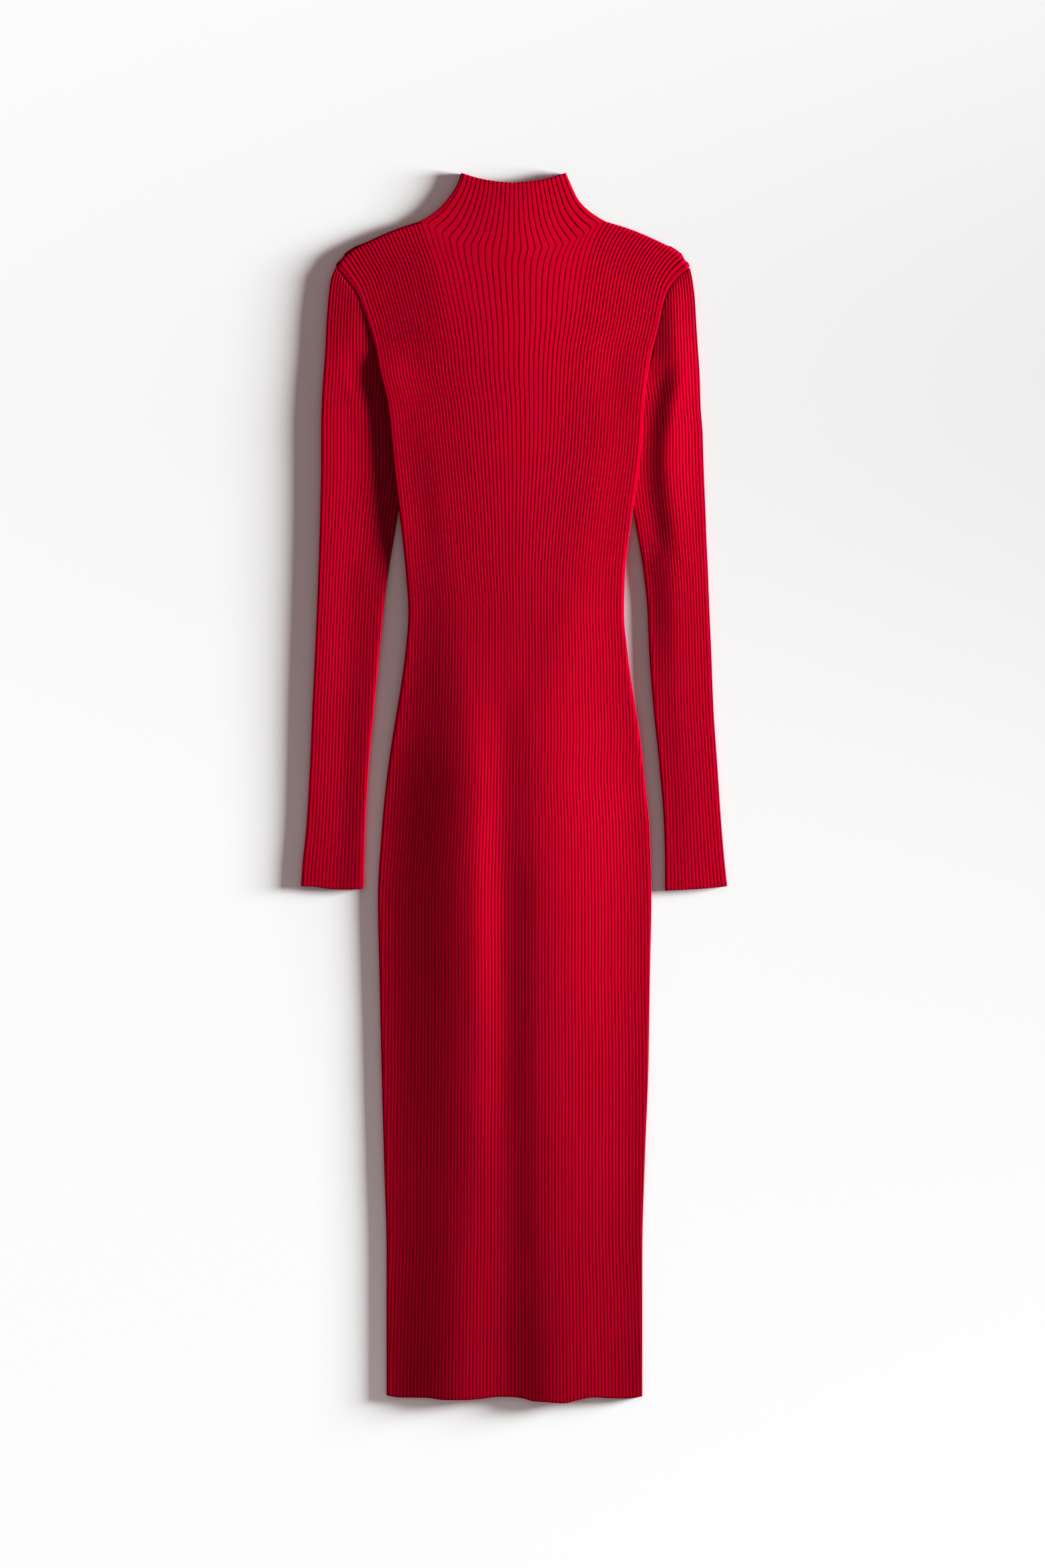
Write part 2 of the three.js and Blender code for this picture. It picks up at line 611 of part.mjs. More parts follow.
// Plan place on a sleeve: way is 0 at the armhole and 1 at the cuff, partAt(y) the part across.
function sleevePlace(table, side, partAt, way) {
  const name = side < 0 ? "left" : "right";
  const across = (y) => {
    const outer = read(table, "y", y, "outer");
    const inner = read(table, "y", y, "inner");
    const half = Math.abs(inner - outer) / 2;
    const part = partAt(y);
    const from = 2 * Math.abs(part - 0.5);
    return (outer + inner) / 2 + Math.sign(inner - outer) * Math.sign(part - 0.5) * half * squash(from, half, 3.3);
  };
  const armholeX = (y) => {
    const part = (TIP_Y - y) / (TIP_Y - UNDERARM_Y);
    return read(ARMHOLE, "part", part, name) + side * 0.4;
  };
  let low = UNDERARM_Y;
  let high = TIP_Y;
  for (let k = 0; k < 30; k += 1) {
    const mid = (low + high) / 2;
    if (side * (armholeX(mid) - across(mid)) < 0) low = mid; else high = mid;
  }
  const start = Math.min(low, TIP_Y - 0.9) - 0.5;
  const cuff = read(CUFFS, "part", partAt(-90), name);
  const y = lerp(start, cuff, way);
  return [across(y), y];
}

const SLEEVE_WAYS = [0, 0.04, 0.075, 0.11, 0.17, 0.25, 0.32, 0.385, 0.46, 0.56, 0.66, 0.76, 0.87, 1];
const SLEEVE_PARTS = [0, 0.03, 0.07, 0.15, 0.3, 0.5, 0.7, 0.85, 0.93, 0.97, 1];

function makeSleeve(name, side, table) {
  const shell = new Shell();
  const faces = sleeveFaces(table);
  const flip = side < 0;
  const loops = (build) => SLEEVE_WAYS.map((way) => {
    const loop = build(way);
    return [...loop, { id: loop[0].id, at: 2 }];
  });
  const point = (face, partAt, way, groove) => shell.add(face(...sleevePlace(table, side, partAt, way), groove));
  const under = SLEEVE_PARTS.slice(1, -1).reverse();
  const outside = loops((way) => {
    const loop = [];
    for (let i = 0; i <= 2 * RIBS.sleeve; i += 1) {
      const partAt = (y) => sleeveShare(i / 2, read(table, "y", y, "ribs"));
      const groove = i % 2 === 0 && i > 0 && i < 2 * RIBS.sleeve ? 1 : 0;
      loop.push({ id: point(faces.above, partAt, way, groove), at: partAt(-90) });
    }
    for (const part of under) loop.push({ id: point(faces.below, () => part, way, 0), at: 2 - part });
    return loop;
  });
  const inside = loops((way) => {
    const loop = SLEEVE_PARTS.map((part) => ({ id: point(faces.roof, () => part, way, 0), at: part }));
    for (const part of under) loop.push({ id: point(faces.floor, () => part, way, 0), at: 2 - part });
    return loop;
  });
  const ids = (loop) => loop.map((p) => p.id);
  for (let r = 0; r + 1 < SLEEVE_WAYS.length; r += 1) {
    shell.quads(ids(outside[r]), ids(outside[r + 1]), flip);
    shell.quads(ids(inside[r]), ids(inside[r + 1]), !flip);
  }
  const close = (a, b) => (flip ? shell.band(b, a) : shell.band(a, b));
  close(inside[0], outside[0]);
  close(outside[outside.length - 1], inside[inside.length - 1]);
  return shell.mesh(name, 0xb0001e);
}

const dress = new THREE.Group();
dress.name = "dress";
dress.add(makeFront(), makeBack());
dress.add(makeSleeve("sleeve_left", -1, SLEEVE_LEFT), makeSleeve("sleeve_right", 1, SLEEVE_RIGHT));

// The origin is the middle of the bounding box, on the surface that the dress lies on.
const box = new THREE.Box3().setFromObject(dress);
const middle = box.getCenter(new THREE.Vector3());
for (const piece of dress.children) piece.geometry.translate(-middle.x, -middle.y, -box.min.z);
export default dress;
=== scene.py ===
import math

import bpy
import numpy as np
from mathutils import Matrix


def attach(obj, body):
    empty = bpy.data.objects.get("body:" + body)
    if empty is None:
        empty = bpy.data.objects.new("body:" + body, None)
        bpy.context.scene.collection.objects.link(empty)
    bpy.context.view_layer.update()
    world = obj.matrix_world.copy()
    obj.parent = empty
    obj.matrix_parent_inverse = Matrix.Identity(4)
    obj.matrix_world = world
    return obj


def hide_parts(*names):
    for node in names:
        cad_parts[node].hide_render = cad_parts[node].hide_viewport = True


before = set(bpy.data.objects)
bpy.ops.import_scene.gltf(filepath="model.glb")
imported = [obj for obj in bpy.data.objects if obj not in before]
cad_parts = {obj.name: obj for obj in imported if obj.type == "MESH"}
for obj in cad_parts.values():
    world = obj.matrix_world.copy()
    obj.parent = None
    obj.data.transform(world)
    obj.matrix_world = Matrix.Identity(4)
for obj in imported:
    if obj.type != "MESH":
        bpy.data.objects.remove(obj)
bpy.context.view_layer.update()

MM = 0.001
# The part's origin is the middle of its box, so the drawing below is shifted by this much (mm).
SHIFT_X = 0.172
SHIFT_Y = 0.014
# How close rib numbers, and other numbers, have to be to count as equal.
SAME_RIB = 1e-6
SAME = 1e-9
# Keeps a length from being zero where an edge has no height.
NOT_ZERO = 0.01

# Sizes, all in millimetres.
# seam: height of the closed seams of neck and shoulder. half_gap: half of what parts the two
# panels there. round, crisp: how far in an edge starts to turn over and how squarely it does so,
# 2 for a half circle and more for a sharper fold. lift, lifted, tucked: heights of the back, the
# front and the sleeve where the sleeve runs under the body. lift_from, lift_width: how far in
# from its side the body starts to sink there, and over what width.
FLAT = {
    "seam": 2.9, "half_gap": 0.04, "round": 4.5, "crisp": 5.0, "lift": 3.8, "lifted": 7.9,
    "tucked": 3.5, "lift_from": 8, "lift_width": 34.0,
}
# rib, under_rib: depth of the grooves on top and underneath. crown: how far a rib's top rises to
# its middle. room: how many walls high an edge has to be for the wall to turn over in full.
CLOTH = {"wall": 1.5, "rib": 0.52, "under_rib": 0.45, "crown": 0.02, "stitch": 1.5, "room": 1.2}
# half, neck_half, sleeve: ribs on half of the body, on half of the neck and across a sleeve.
# faded: width that is left of a rib squeezed into the seam. wide: over how many ribs, counted
# from the middle, they are wider. cuff: ribs across the cuff.
RIBS = {"half": 42, "neck_half": 13, "sleeve": 24, "faded": 0.12, "wide": 11.5, "cuff": 17.0}
# drop, narrow_drop: how far the cloth bends down at the side of the body, and of neck and
# sleeve. bend: how much of that adds to the way round. full: drop from which the bend is round.
# fade: height below the underarm over which the body's bend sets in.
EDGE = {"drop": 3.5, "narrow_drop": 3.3, "bend": 0.35, "full": 2, "fade": 30}
# below: how far below the underarm the armhole's seam still shows. crease: depth of the dip
# beside it, with its width on the body and on the sleeve. calm: how much shallower the grooves
# are there, and over what width. gap, tip: how far from the seam and the shoulder's tip a sleeve
# starts. joined: height over which the side seam opens into the armhole.
ARM_SEAM = {
    "below": 12, "crease": 0.3, "crease_width": 1.3, "sleeve_crease_width": 1.6, "calm": 0.75,
    "calm_width": 5, "gap": 0.03, "tip": 0.3, "joined": 26,
}
# wall: share of the body's wall. floor: height of the inside of its underside. middle: where
# across it the middle height of SLEEVE_LAY is. outer_seam, inner_seam: height of its edges as a
# share of the height beside them. tuck_from, tuck_width: how far in it starts to rise, and over
# what width, where it runs under the body.
TUBE = {
    "wall": 0.9, "floor": 1.5, "middle": 0.55, "outer_seam": 0.53, "inner_seam": 0.52,
    "tuck_from": 14, "tuck_width": 26,
}
# The knit's first and last courses are thin and plain: heights over which the grooves set in.
# A sleeve's grooves start at the armhole with the share "least" of their depth.
PLAIN_EDGE = {"before": 0.5, "hem": 3.0, "neck": 2.5, "armhole": 5.0, "least": 0.25}

# Outline and lie of the dress, read from the photo.
# y: height in the drawing. left, right: side edges. seam: height of the side seam over the
# floor. lift: 1 where a sleeve runs under the body. ribs: ribs that show on each half. wide: how
# much wider than the others the middle ones are.
BODY = dict(
    y=[430.5, 404, 374.5, 335.5, 289.5, 250, 211, 171.5, 132.5, 93, 53.5, 8, -44.5, -110, -182,
       -274, -365.5, -457, -542.5, -595],
    left=[-136.5, -131, -124, -120, -115, -110, -106, -103.5, -106.5, -112, -118.5, -125, -130,
          -133.5, -132, -130, -127.5, -125, -125, -125],
    right=[136, 131, 127.5, 125, 119.5, 113.5, 109, 108, 111.5, 117, 123.5, 128.5, 133.5, 135,
           133.5, 132, 128.5, 126, 126, 126],
    seam=[2.75, 4.9, 5.85, 5.85, 5.85, 5.15, 2.9, 2.7, 2.6, 2.4, 2.25, 2.1, 2.05, 2, 2, 2, 2, 2, 2,
          2],
    lift=[0, 0.7, 1, 1, 1, 0.8, 0.1, 0, 0, 0, 0, 0, 0, 0, 0, 0, 0, 0, 0, 0],
    ribs=[36, 36, 36, 36, 36, 35.5, 35, 35, 35.7, 37.5, 39.3, 41.4, 42, 41.7, 41, 40, 38.8, 37.7,
          36.8, 36.5],
    wide=[0.6, 0.56, 0.48, 0.38, 0.24, 0.13, 0.05, 0, 0, 0, 0, 0, 0.03, 0.03, 0, 0, 0, 0, 0, 0],
)
# Side edge along the armhole: part runs from the shoulder's tip to the underarm.
ARMHOLE = dict(
    part=[0, 0.015, 0.06, 0.15, 0.3, 0.5, 0.75, 1],
    left=[-174.5, -173.5, -170, -164.5, -155.5, -149, -142, -136.5],
    right=[172, 170.5, 165.5, 158, 150, 145.5, 141.5, 136],
)
# Shoulder line, from the neck's foot to the tip.
SHOULDER = dict(
    part=[0, 0.28, 0.56, 0.8, 0.94, 1],
    left=[-92, -115, -138.5, -158, -169.5, -174.5],
    right=[89.5, 113.5, 137.5, 156.5, 167.5, 172],
    y=[556, 548.5, 538.5, 528.5, 519, 510],
)
# Foot and top of the neck, from its middle to its side, and its side from foot to top.
NECK_FOOT = dict(
    part=[0, 0.3, 0.53, 0.67, 0.8, 0.94, 1],
    y=[528.5, 530, 533, 538.5, 546, 554, 556],
)
NECK_TOP = dict(
    part=[0, 0.25, 0.5, 0.75, 0.92, 1],
    y=[593.5, 594.5, 596.5, 599.5, 602.5, 603.5],
)
NECK_SIDE = dict(
    part=[0, 0.22, 0.44, 0.66, 0.85, 1],
    y=[556, 566.5, 577, 587.5, 596.5, 603.5],
    left=[-92, -76, -66, -58.5, -54, -52],
    right=[89.5, 73.5, 63.5, 58, 54, 51],
)
# Line of the hem across the front.
HEM = dict(
    x=[-125, -112, -87, -68, -50, -33, -16, 5, 18, 33, 49, 63, 79, 93, 113, 126],
    y=[-596.5, -598.5, -598.5, -600.5, -600.5, -599.5, -597.5, -598, -601.5, -602.5, -603.5,
       -600.5, -598, -599, -599.5, -597.5],
)
# Sleeves, -1 for the one at the left. outer, inner: edges. tuck: 1 where the sleeve runs under
# the body. ribs: ribs that show across.
SLEEVE_Y = [510, 499, 479.5, 453.5, 430, 407.5, 394.5, 374.5, 348.5, 315.5, 289.5, 266.5, 250,
            217.5, 178, 132.5, 80, 21, -38, -77.5, -100]
SLEEVE = {
    -1: dict(
        y=SLEEVE_Y,
        outer=[-175.5, -180, -182.5, -184.5, -185.5, -187, -188, -189, -189.5, -189.5, -190,
               -190.5, -191, -192, -193.5, -195.5, -198, -200.5, -204, -208, -209.5],
        inner=[-137, -137, -137, -137, -136.8, -129.6, -125, -117, -111, -109, -111, -114.5, -117,
               -122.5, -127.5, -132, -137, -142.5, -146, -147, -147.5],
        tuck=[0, 0, 0, 0, 0.1, 0.7, 1, 1, 1, 1, 1, 1, 0.9, 0.1, 0, 0, 0, 0, 0, 0, 0],
        ribs=[15, 15, 15, 15, 15, 17, 18.5, 22, 23.5, 24, 24, 24, 23.8, 23.2, 22.4, 21.3, 19.8,
              18.2, 17.3, 17, 17],
    ),
    1: dict(
        y=SLEEVE_Y,
        outer=[173, 175.5, 178, 179.5, 181, 182.5, 183, 183.5, 185.5, 186.5, 187.5, 188.5, 189,
               190.5, 192, 194, 196, 200, 204, 207.5, 210],
        inner=[136.5, 136.5, 136.5, 136.5, 136.3, 129.6, 126.5, 120, 115.5, 112.5, 114.5, 118, 121,
               126.5, 131, 133, 137, 143, 147.5, 148.5, 148.5],
        tuck=[0, 0, 0, 0, 0.1, 0.7, 1, 1, 1, 1, 1, 1, 0.9, 0.1, 0, 0, 0, 0, 0, 0, 0],
        ribs=[14.5, 14.5, 14.5, 14.5, 14.5, 16.5, 18, 21.5, 23.5, 24, 24, 24, 23.8, 23.2, 22.4,
              21.3, 19.8, 18.2, 17.3, 17, 17],
    ),
}
# Height of the cuffs, from the outer edge to the inner one.
CUFFS = dict(
    part=[0, 0.2, 0.5, 0.8, 1],
    left=[-96.5, -97, -99.5, -100, -99],
    right=[-96.5, -98, -99.5, -100.5, -101],
)
# How the front lies: heights of its ribs over the floor. A soft ridge and a soft crest run down
# it with a valley between them; flank is the height near both side edges.
LAY = dict(
    y=[556, 492.5, 427, 368, 315.5, 250, 184.5, 119, 53.5, 8, -44.5, -110, -175.5, -241, -306.5,
       -372, -437.5, -503, -555.5, -603.5],
    flank=[3.9, 5.2, 6.4, 7.9, 8.1, 7.9, 7.3, 6.5, 5.4, 4.5, 4.0, 3.7, 3.6, 3.5, 3.5, 3.5, 3.5,
           3.5, 3.5, 3.5],
    ridge_x=[-45, -65, -65, -65, -65, -58, -50, -45, -40, -40, -41, -41, -40, -39, -41, -40, -47,
             -53, -56, -56],
    ridge=[4.6, 6.5, 7.7, 8.4, 8.7, 8.9, 9.0, 9.1, 9.6, 10.2, 9.85, 9.55, 9.05, 8.4, 7.8, 7.2,
           6.75, 6.75, 6.8, 6.9],
    valley_x=[0, 0, 0, 0, -4, -6, -6, -8, -9, -9, -10, -8, -9, -8, -9, -8, -7, -8, -8, -8],
    valley=[4.9, 7.1, 8.2, 8.8, 8.9, 9.0, 9.1, 9.1, 8.75, 8.95, 8.15, 7.45, 7.0, 7.05, 6.45, 6.45,
            5.85, 5.5, 5.15, 5.65],
    crest_x=[45, 65, 65, 60, 55, 50, 45, 30, 20, 20, 22, 26, 25, 24, 25, 26, 27, 32, 35, 37],
    crest=[4.6, 6.5, 7.7, 8.3, 8.4, 8.6, 8.8, 9.2, 9.3, 9.5, 8.95, 8.7, 8.2, 8.2, 7.65, 7.55, 7.0,
           6.8, 6.8, 7.5],
)
# Height of each sleeve's ribs at its outer edge, in the middle and at its inner edge.
SLEEVE_LAY_Y = [510, 430, 394.5, 348.5, 250, 184, 80, -38, -100]
SLEEVE_LAY = {
    -1: dict(
        y=SLEEVE_LAY_Y,
        outer=[4.8, 5.1, 5.2, 5.3, 5.1, 5.0, 4.7, 4.1, 3.8],
        middle=[4.9, 5.3, 4.9, 4.4, 4.2, 4.2, 4.1, 3.9, 3.8],
        inner=[4.9, 5.0, 4.1, 3.6, 3.6, 4.5, 4.8, 4.6, 4.4],
    ),
    1: dict(
        y=SLEEVE_LAY_Y,
        outer=[4.6, 4.1, 3.9, 3.9, 4.2, 4.4, 4.2, 4.0, 3.9],
        middle=[4.9, 5.7, 5.6, 5.4, 5.1, 4.8, 4.3, 4.1, 4.0],
        inner=[4.9, 4.6, 3.9, 3.4, 3.4, 3.4, 3.8, 3.9, 3.9],
    ),
}
UNDERARM_Y = BODY["y"][0]
TIP_Y = SHOULDER["y"][-1]
SIDE_NAME = {-1: "left", 1: "right"}

# Rows and columns of the meshes.
# start, stop, step: the rows of the body's outline up to just below the underarm. shoulder, neck:
# how many there are on each. past_neck: how far it runs on above the neck.
OUTLINE_ROWS = {
    "start": -606, "stop": UNDERARM_Y - 2, "step": 7.0, "shoulder": 16, "neck": 12, "past_neck": 6,
}
OUTLINE_ARM = (1, 0.9, 0.8, 0.7, 0.6, 0.5, 0.4, 0.3, 0.22, 0.15, 0.1, 0.06, 0.03, 0.012)
# hem: how far below the drawing's zero the first row is. course: the next two, which follow the
# hem's line in full. start, end, step: the rows above them. fade: height over which the hem's
# waves fade. All but hem count from the first row.
BODY_ROWS = {"hem": 603, "course": [1.2, 3.5], "start": 9, "end": 1020, "step": 8.4, "fade": 60}
# Parts of the way down the armhole, and of the way up the neck.
ARM_ROWS = (
    1, 0.9, 0.8, 0.7, 0.6, 0.5, 0.41, 0.33, 0.26, 0.2, 0.15, 0.11, 0.08, 0.055, 0.035, 0.018,
    0.006, 0,
)
NECK_ROWS = (0.06, 0.13, 0.21, 0.3, 0.4, 0.5, 0.6, 0.7, 0.8, 0.88, 0.94, 0.98, 1)
# Parts of the way from armhole to cuff.
SLEEVE_ROWS = np.concatenate([
    [0, 0.0015, 0.004, 0.009], np.linspace(0.016, 0.985, 84), [0.993, 0.998, 1],
])
# Places across one rib where it is one pitch wide: a groove's floor and its edges, then the
# crown. On a wider rib the groove keeps its width, so the crown takes what is left.
ACROSS = {"pitch": 3.3, "floor": 0.05, "edge": 0.15}
FINE = [0, ACROSS["floor"], ACROSS["edge"], 0.5, 1 - ACROSS["edge"], 1 - ACROSS["floor"]]
PLAIN = [0, 0.25, 0.5, 0.75]
# Rib numbers of the columns inside the body, on one half, and inside a sleeve.
BODY_INSIDE = [
    0, 2.5, 5, 8, 10.5, 13, 16, 19, 22, 25, 28, 31, 33, 34, 35, 36, 37, 38, 39, 40, 41, 42,
]
SLEEVE_INSIDE = [0, 0.4, 1, 2, 4, 7, 10, 13, 15, 17, 19, 21, 22.5, 23.4, 24]
# least, least_shade: narrowest rib that a groove's width and the shade painted beside it are
# fitted
# to. near, far: how near to a groove a column has to be to move with it, and how far off it may
# end, in parts of a rib. side: share of the depth at the edge of the groove's floor. squeezed: how
# fast a rib squeezed into the seam loses its depth.
GROOVE = {"least": 1.3, "least_shade": 2.4, "near": 0.3, "far": 0.4, "side": 0.94, "squeezed": 0.7}
# The grooves are bold, deep and dark, over the chest and neck, and soft below; the dark is partly
# their depth and partly shade painted into the material. from, to: heights over which that sets
# in. soft: share of the depth in a soft groove. rib, last_rib: ribs over which it fades towards
# the sides. shoulder, top: heights over which it reaches the sides too.
BOLD = {
    "from": 60.0, "to": 320.0, "soft": 0.5, "rib": 14.0, "last_rib": 26.0, "shoulder": 400.0,
    "top": 460.0,
}


# Small numeric helpers.
def soft(t):
    """Rises smoothly from 0 to 1 as t does."""
    t = np.clip(t, 0, 1)
    return t * t * (3 - 2 * t)


def curve(xs, ys):
    """A smooth curve through the points that never swings past them."""
    xs = np.asarray(xs, float)
    ys = np.asarray(ys, float)
    if xs[0] > xs[-1]:
        xs, ys = xs[::-1], ys[::-1]
    h = np.diff(xs)
    s = np.diff(ys) / h
    m = np.empty(len(xs))
    m[0], m[-1] = s[0], s[-1]
    for i in range(1, len(xs) - 1):
        if s[i - 1] * s[i] <= 0:
            m[i] = 0
        else:
            a, b = 2 * h[i] + h[i - 1], h[i] + 2 * h[i - 1]
            m[i] = (a + b) / (a / s[i - 1] + b / s[i])

    def at(x):
        x = np.clip(np.asarray(x, float), xs[0], xs[-1])
        i = np.clip(np.searchsorted(xs, x) - 1, 0, len(xs) - 2)
        t = (x - xs[i]) / h[i]
        return (
            (1 + 2 * t) * (1 - t) ** 2 * ys[i] + t * (1 - t) ** 2 * h[i] * m[i]
            + t * t * (3 - 2 * t) * ys[i + 1] + t * t * (t - 1) * h[i] * m[i + 1]
        )

    return at


def curves(table, key):
    """A curve for each column of a table, over the column named by key."""
    return {name: curve(table[key], table[name]) for name in table if name != key}


def through(xs, zs, x):
    """A smooth curve through the points of each place (rising xs) that never swings past them."""
    xs, zs = np.stack(xs), np.stack(zs)
    x = np.clip(x, xs[0], xs[-1])
    span = xs[1:] - xs[:-1]
    slope = (zs[1:] - zs[:-1]) / span
    lean = np.zeros_like(zs)
    product = slope[:-1] * slope[1:]
    total = slope[:-1] + slope[1:]
    total = np.where(np.abs(total) < SAME, 1, total)
    lean[1:-1] = np.where(product > 0, 2 * product / total, 0)
    i = np.clip((x[None] > xs[1:-1]).sum(0), 0, len(span) - 1)

    def pick(a):
        return np.take_along_axis(a, i[None], 0)[0]

    h, t = pick(span), (x - pick(xs[:-1])) / pick(span)
    r = 1 - t
    return (
        (1 + 2 * t) * r * r * pick(zs[:-1]) + t * r * r * h * pick(lean[:-1])
        + t * t * (3 - 2 * t) * pick(zs[1:]) - t * t * r * h * pick(lean[1:])
    )


body_at = curves(BODY, "y")
arm_at = curves(ARMHOLE, "part")
shoulder_at = curves(SHOULDER, "part")
foot_at = curves(NECK_FOOT, "part")
crown_at = curves(NECK_TOP, "part")
neck_at = curves(NECK_SIDE, "part")
hem_at = curves(HEM, "x")
cuff_at = curves(CUFFS, "part")
lay_at = curves(LAY, "y")
sleeve_at = {side: curves(SLEEVE[side], "y") for side in SIDE_NAME}
sleeve_lay_at = {side: curves(SLEEVE_LAY[side], "y") for side in SIDE_NAME}


# How the cloth lies and turns over at its edges.
def edge_height(e):
    """Share of the full height where e runs from 0 on the flat to 1 at the very edge."""
    return (1 - e ** FLAT["crisp"]) ** (1 / FLAT["crisp"])


def turned(height, wall):
    """Share of a full turn that a wall makes at an edge of this height."""
    return np.clip(height / (CLOTH["room"] * wall), 0, 1)


def edge_x(side, y):
    """Place of the body's side edge at each height."""
    name = SIDE_NAME[side]
    part = np.clip((TIP_Y - y) / (TIP_Y - UNDERARM_Y), 0, 1)
    return np.where(y < UNDERARM_Y, body_at[name](y), arm_at[name](part))


def lay_height(x, y):
    """Height of the front's ribs above the floor where no sleeve lifts it."""
    at = {name: c(y) for name, c in lay_at.items()}
    places = [edge_x(-1, y), at["ridge_x"], at["valley_x"], at["crest_x"], edge_x(1, y)]
    heights = [at["flank"], at["ridge"], at["valley"], at["crest"], at["flank"]]
    return through(places, heights, x)


def body_outline(side):
    """Rows of x, y, seam, lift, join: join is 1 on a closed seam and 0 along the armhole."""
    name = SIDE_NAME[side]
    rows = []
    for y in np.arange(*(OUTLINE_ROWS[key] for key in ("start", "stop", "step"))):
        join = float(soft((UNDERARM_Y - y) / ARM_SEAM["joined"]))
        rows.append((body_at[name](y), y, body_at["seam"](y), body_at["lift"](y), join))
    for part in OUTLINE_ARM:
        y = TIP_Y + (UNDERARM_Y - TIP_Y) * part
        rows.append((arm_at[name](part), y, FLAT["seam"], 0, 0))
    for part in np.linspace(1, 0, OUTLINE_ROWS["shoulder"]):
        rows.append((shoulder_at[name](part), shoulder_at["y"](part), FLAT["seam"], 0, 1))
    for part in np.linspace(0, 1, OUTLINE_ROWS["neck"])[1:]:
        rows.append((neck_at[name](part), neck_at["y"](part), FLAT["seam"], 0, 1))
    x, y, seam = rows[-1][:3]
    rows.append((x, y + OUTLINE_ROWS["past_neck"], seam, 0, 1))
    return np.array([[float(v) for v in r] for r in rows])


OUTLINE = {side: body_outline(side) for side in SIDE_NAME}
# Places worked out at a time, and how near to the outline a place counts as on it.
CHUNK = 4000
ON_OUTLINE = 0.05
# How often the height at which a sleeve's rib meets the armhole is halved.
HALVINGS = 26


def nearest(outline, side, x, y):
    """Distance to the outline, the unit vector inwards, and seam, lift and join there."""
    a, b = outline[:-1], outline[1:]
    d = b[:, :2] - a[:, :2]
    size = (d * d).sum(1)
    out = [np.empty(len(x)) for _ in range(6)]
    for k in range(0, len(x), CHUNK):
        px, py = x[k:k + CHUNK, None], y[k:k + CHUNK, None]
        t = np.clip(((px - a[:, 0]) * d[:, 0] + (py - a[:, 1]) * d[:, 1]) / size, 0, 1)
        gx, gy = px - (a[:, 0] + t * d[:, 0]), py - (a[:, 1] + t * d[:, 1])
        far = gx * gx + gy * gy
        i = far.argmin(1)
        row = np.arange(len(i))
        dist = np.sqrt(far[row, i])
        length = np.sqrt(size[i])
        on = dist < ON_OUTLINE
        safe = np.where(on, 1, dist)
        nx = np.where(on, -side * d[i, 1] / length, gx[row, i] / safe)
        ny = np.where(on, side * d[i, 0] / length, gy[row, i] / safe)
        tt = t[row, i]
        values = [dist, nx, ny] + [a[i, c] + tt * (b[i, c] - a[i, c]) for c in (2, 3, 4)]
        for o, v in zip(out, values):
            o[k:k + CHUNK] = v
    return out


def body_shape(x, y):
    """Heights of the body's faces at many places, and how its edge rounds off there."""
    shape = x.shape
    x, y = x.ravel(), y.ravel()
    res = np.empty((6, len(x)))
    for side in SIDE_NAME:
        mine = (x < 0) if side < 0 else (x >= 0)
        res[:, mine] = nearest(OUTLINE[side], side, x[mine], y[mine])
    dist, nx, ny, seam, lift, join = res
    lifted = lift * (1 - soft((dist - FLAT["lift_from"]) / FLAT["lift_width"]))
    floor = FLAT["lift"] * lifted
    plain = lay_height(x, y)
    top = plain + (FLAT["lifted"] - plain) * lifted
    e = np.where(join > 0, np.clip(1 - dist / FLAT["round"], 0, 1), 0)
    by_arm = y > UNDERARM_Y - ARM_SEAM["below"]
    dip = np.exp(-((dist / ARM_SEAM["crease_width"]) ** 2))
    calmed = ARM_SEAM["calm"] * (1 - join) * (1 - soft(dist / ARM_SEAM["calm_width"]))
    s = dict(
        nx=nx, ny=ny, seam=seam, join=join, floor=floor, top=top, e=e, sine=edge_height(e),
        calm=1 - calmed * by_arm,
        crease=(1 - join) * ARM_SEAM["crease"] * dip * by_arm,
        front=(top - seam - FLAT["half_gap"]) * join,
        back=(seam - FLAT["half_gap"] - floor) * join,
    )
    s["turn"] = turned(s["front"], CLOTH["wall"])
    return {k: v.reshape(shape) for k, v in s.items()}


# The faces of front and back. Each takes places in plan and the depth of the groove there.
def front_outer(x, y, groove):
    s = body_shape(x, y)
    groove = groove * s["calm"]
    out = s["front"] * s["e"]
    up = FLAT["round"] * (s["sine"] + 1 - s["turn"]) + NOT_ZERO
    size = np.hypot(out, up)
    x = x + s["nx"] * out / size * groove
    y = y + s["ny"] * out / size * groove
    z = s["top"] - s["front"] * (1 - s["sine"]) - s["crease"]
    return x, y, z - up / size * groove


def front_inner(x, y, groove):
    s = body_shape(x, y)
    shift = CLOTH["wall"] * s["turn"] * s["e"]
    drop = (s["front"] - CLOTH["wall"] * s["turn"]) * (1 - s["sine"])
    return x + s["nx"] * shift, y + s["ny"] * shift, s["top"] - CLOTH["wall"] - drop


def back_outer(x, y, groove):
    s = body_shape(x, y)
    return x, y, s["floor"] + s["back"] * (1 - s["sine"]) + groove


def back_inner(x, y, groove):
    s = body_shape(x, y)
    shift = CLOTH["wall"] * s["turn"] * s["e"]
    top = s["seam"] - FLAT["half_gap"] - CLOTH["wall"] * (1 - s["turn"])
    rise = (top - s["floor"] - CLOTH["wall"]) * s["join"]
    z = s["floor"] + CLOTH["wall"] + rise * (1 - s["sine"])
    return x + s["nx"] * shift, y + s["ny"] * shift, z


# Where the ribs run.
def rib_weight(n, ribs):
    """How full rib n is here: 1 for a whole rib, less for one still squeezed into the seam."""
    return np.clip(ribs - np.floor(n), RIBS["faded"], 1)


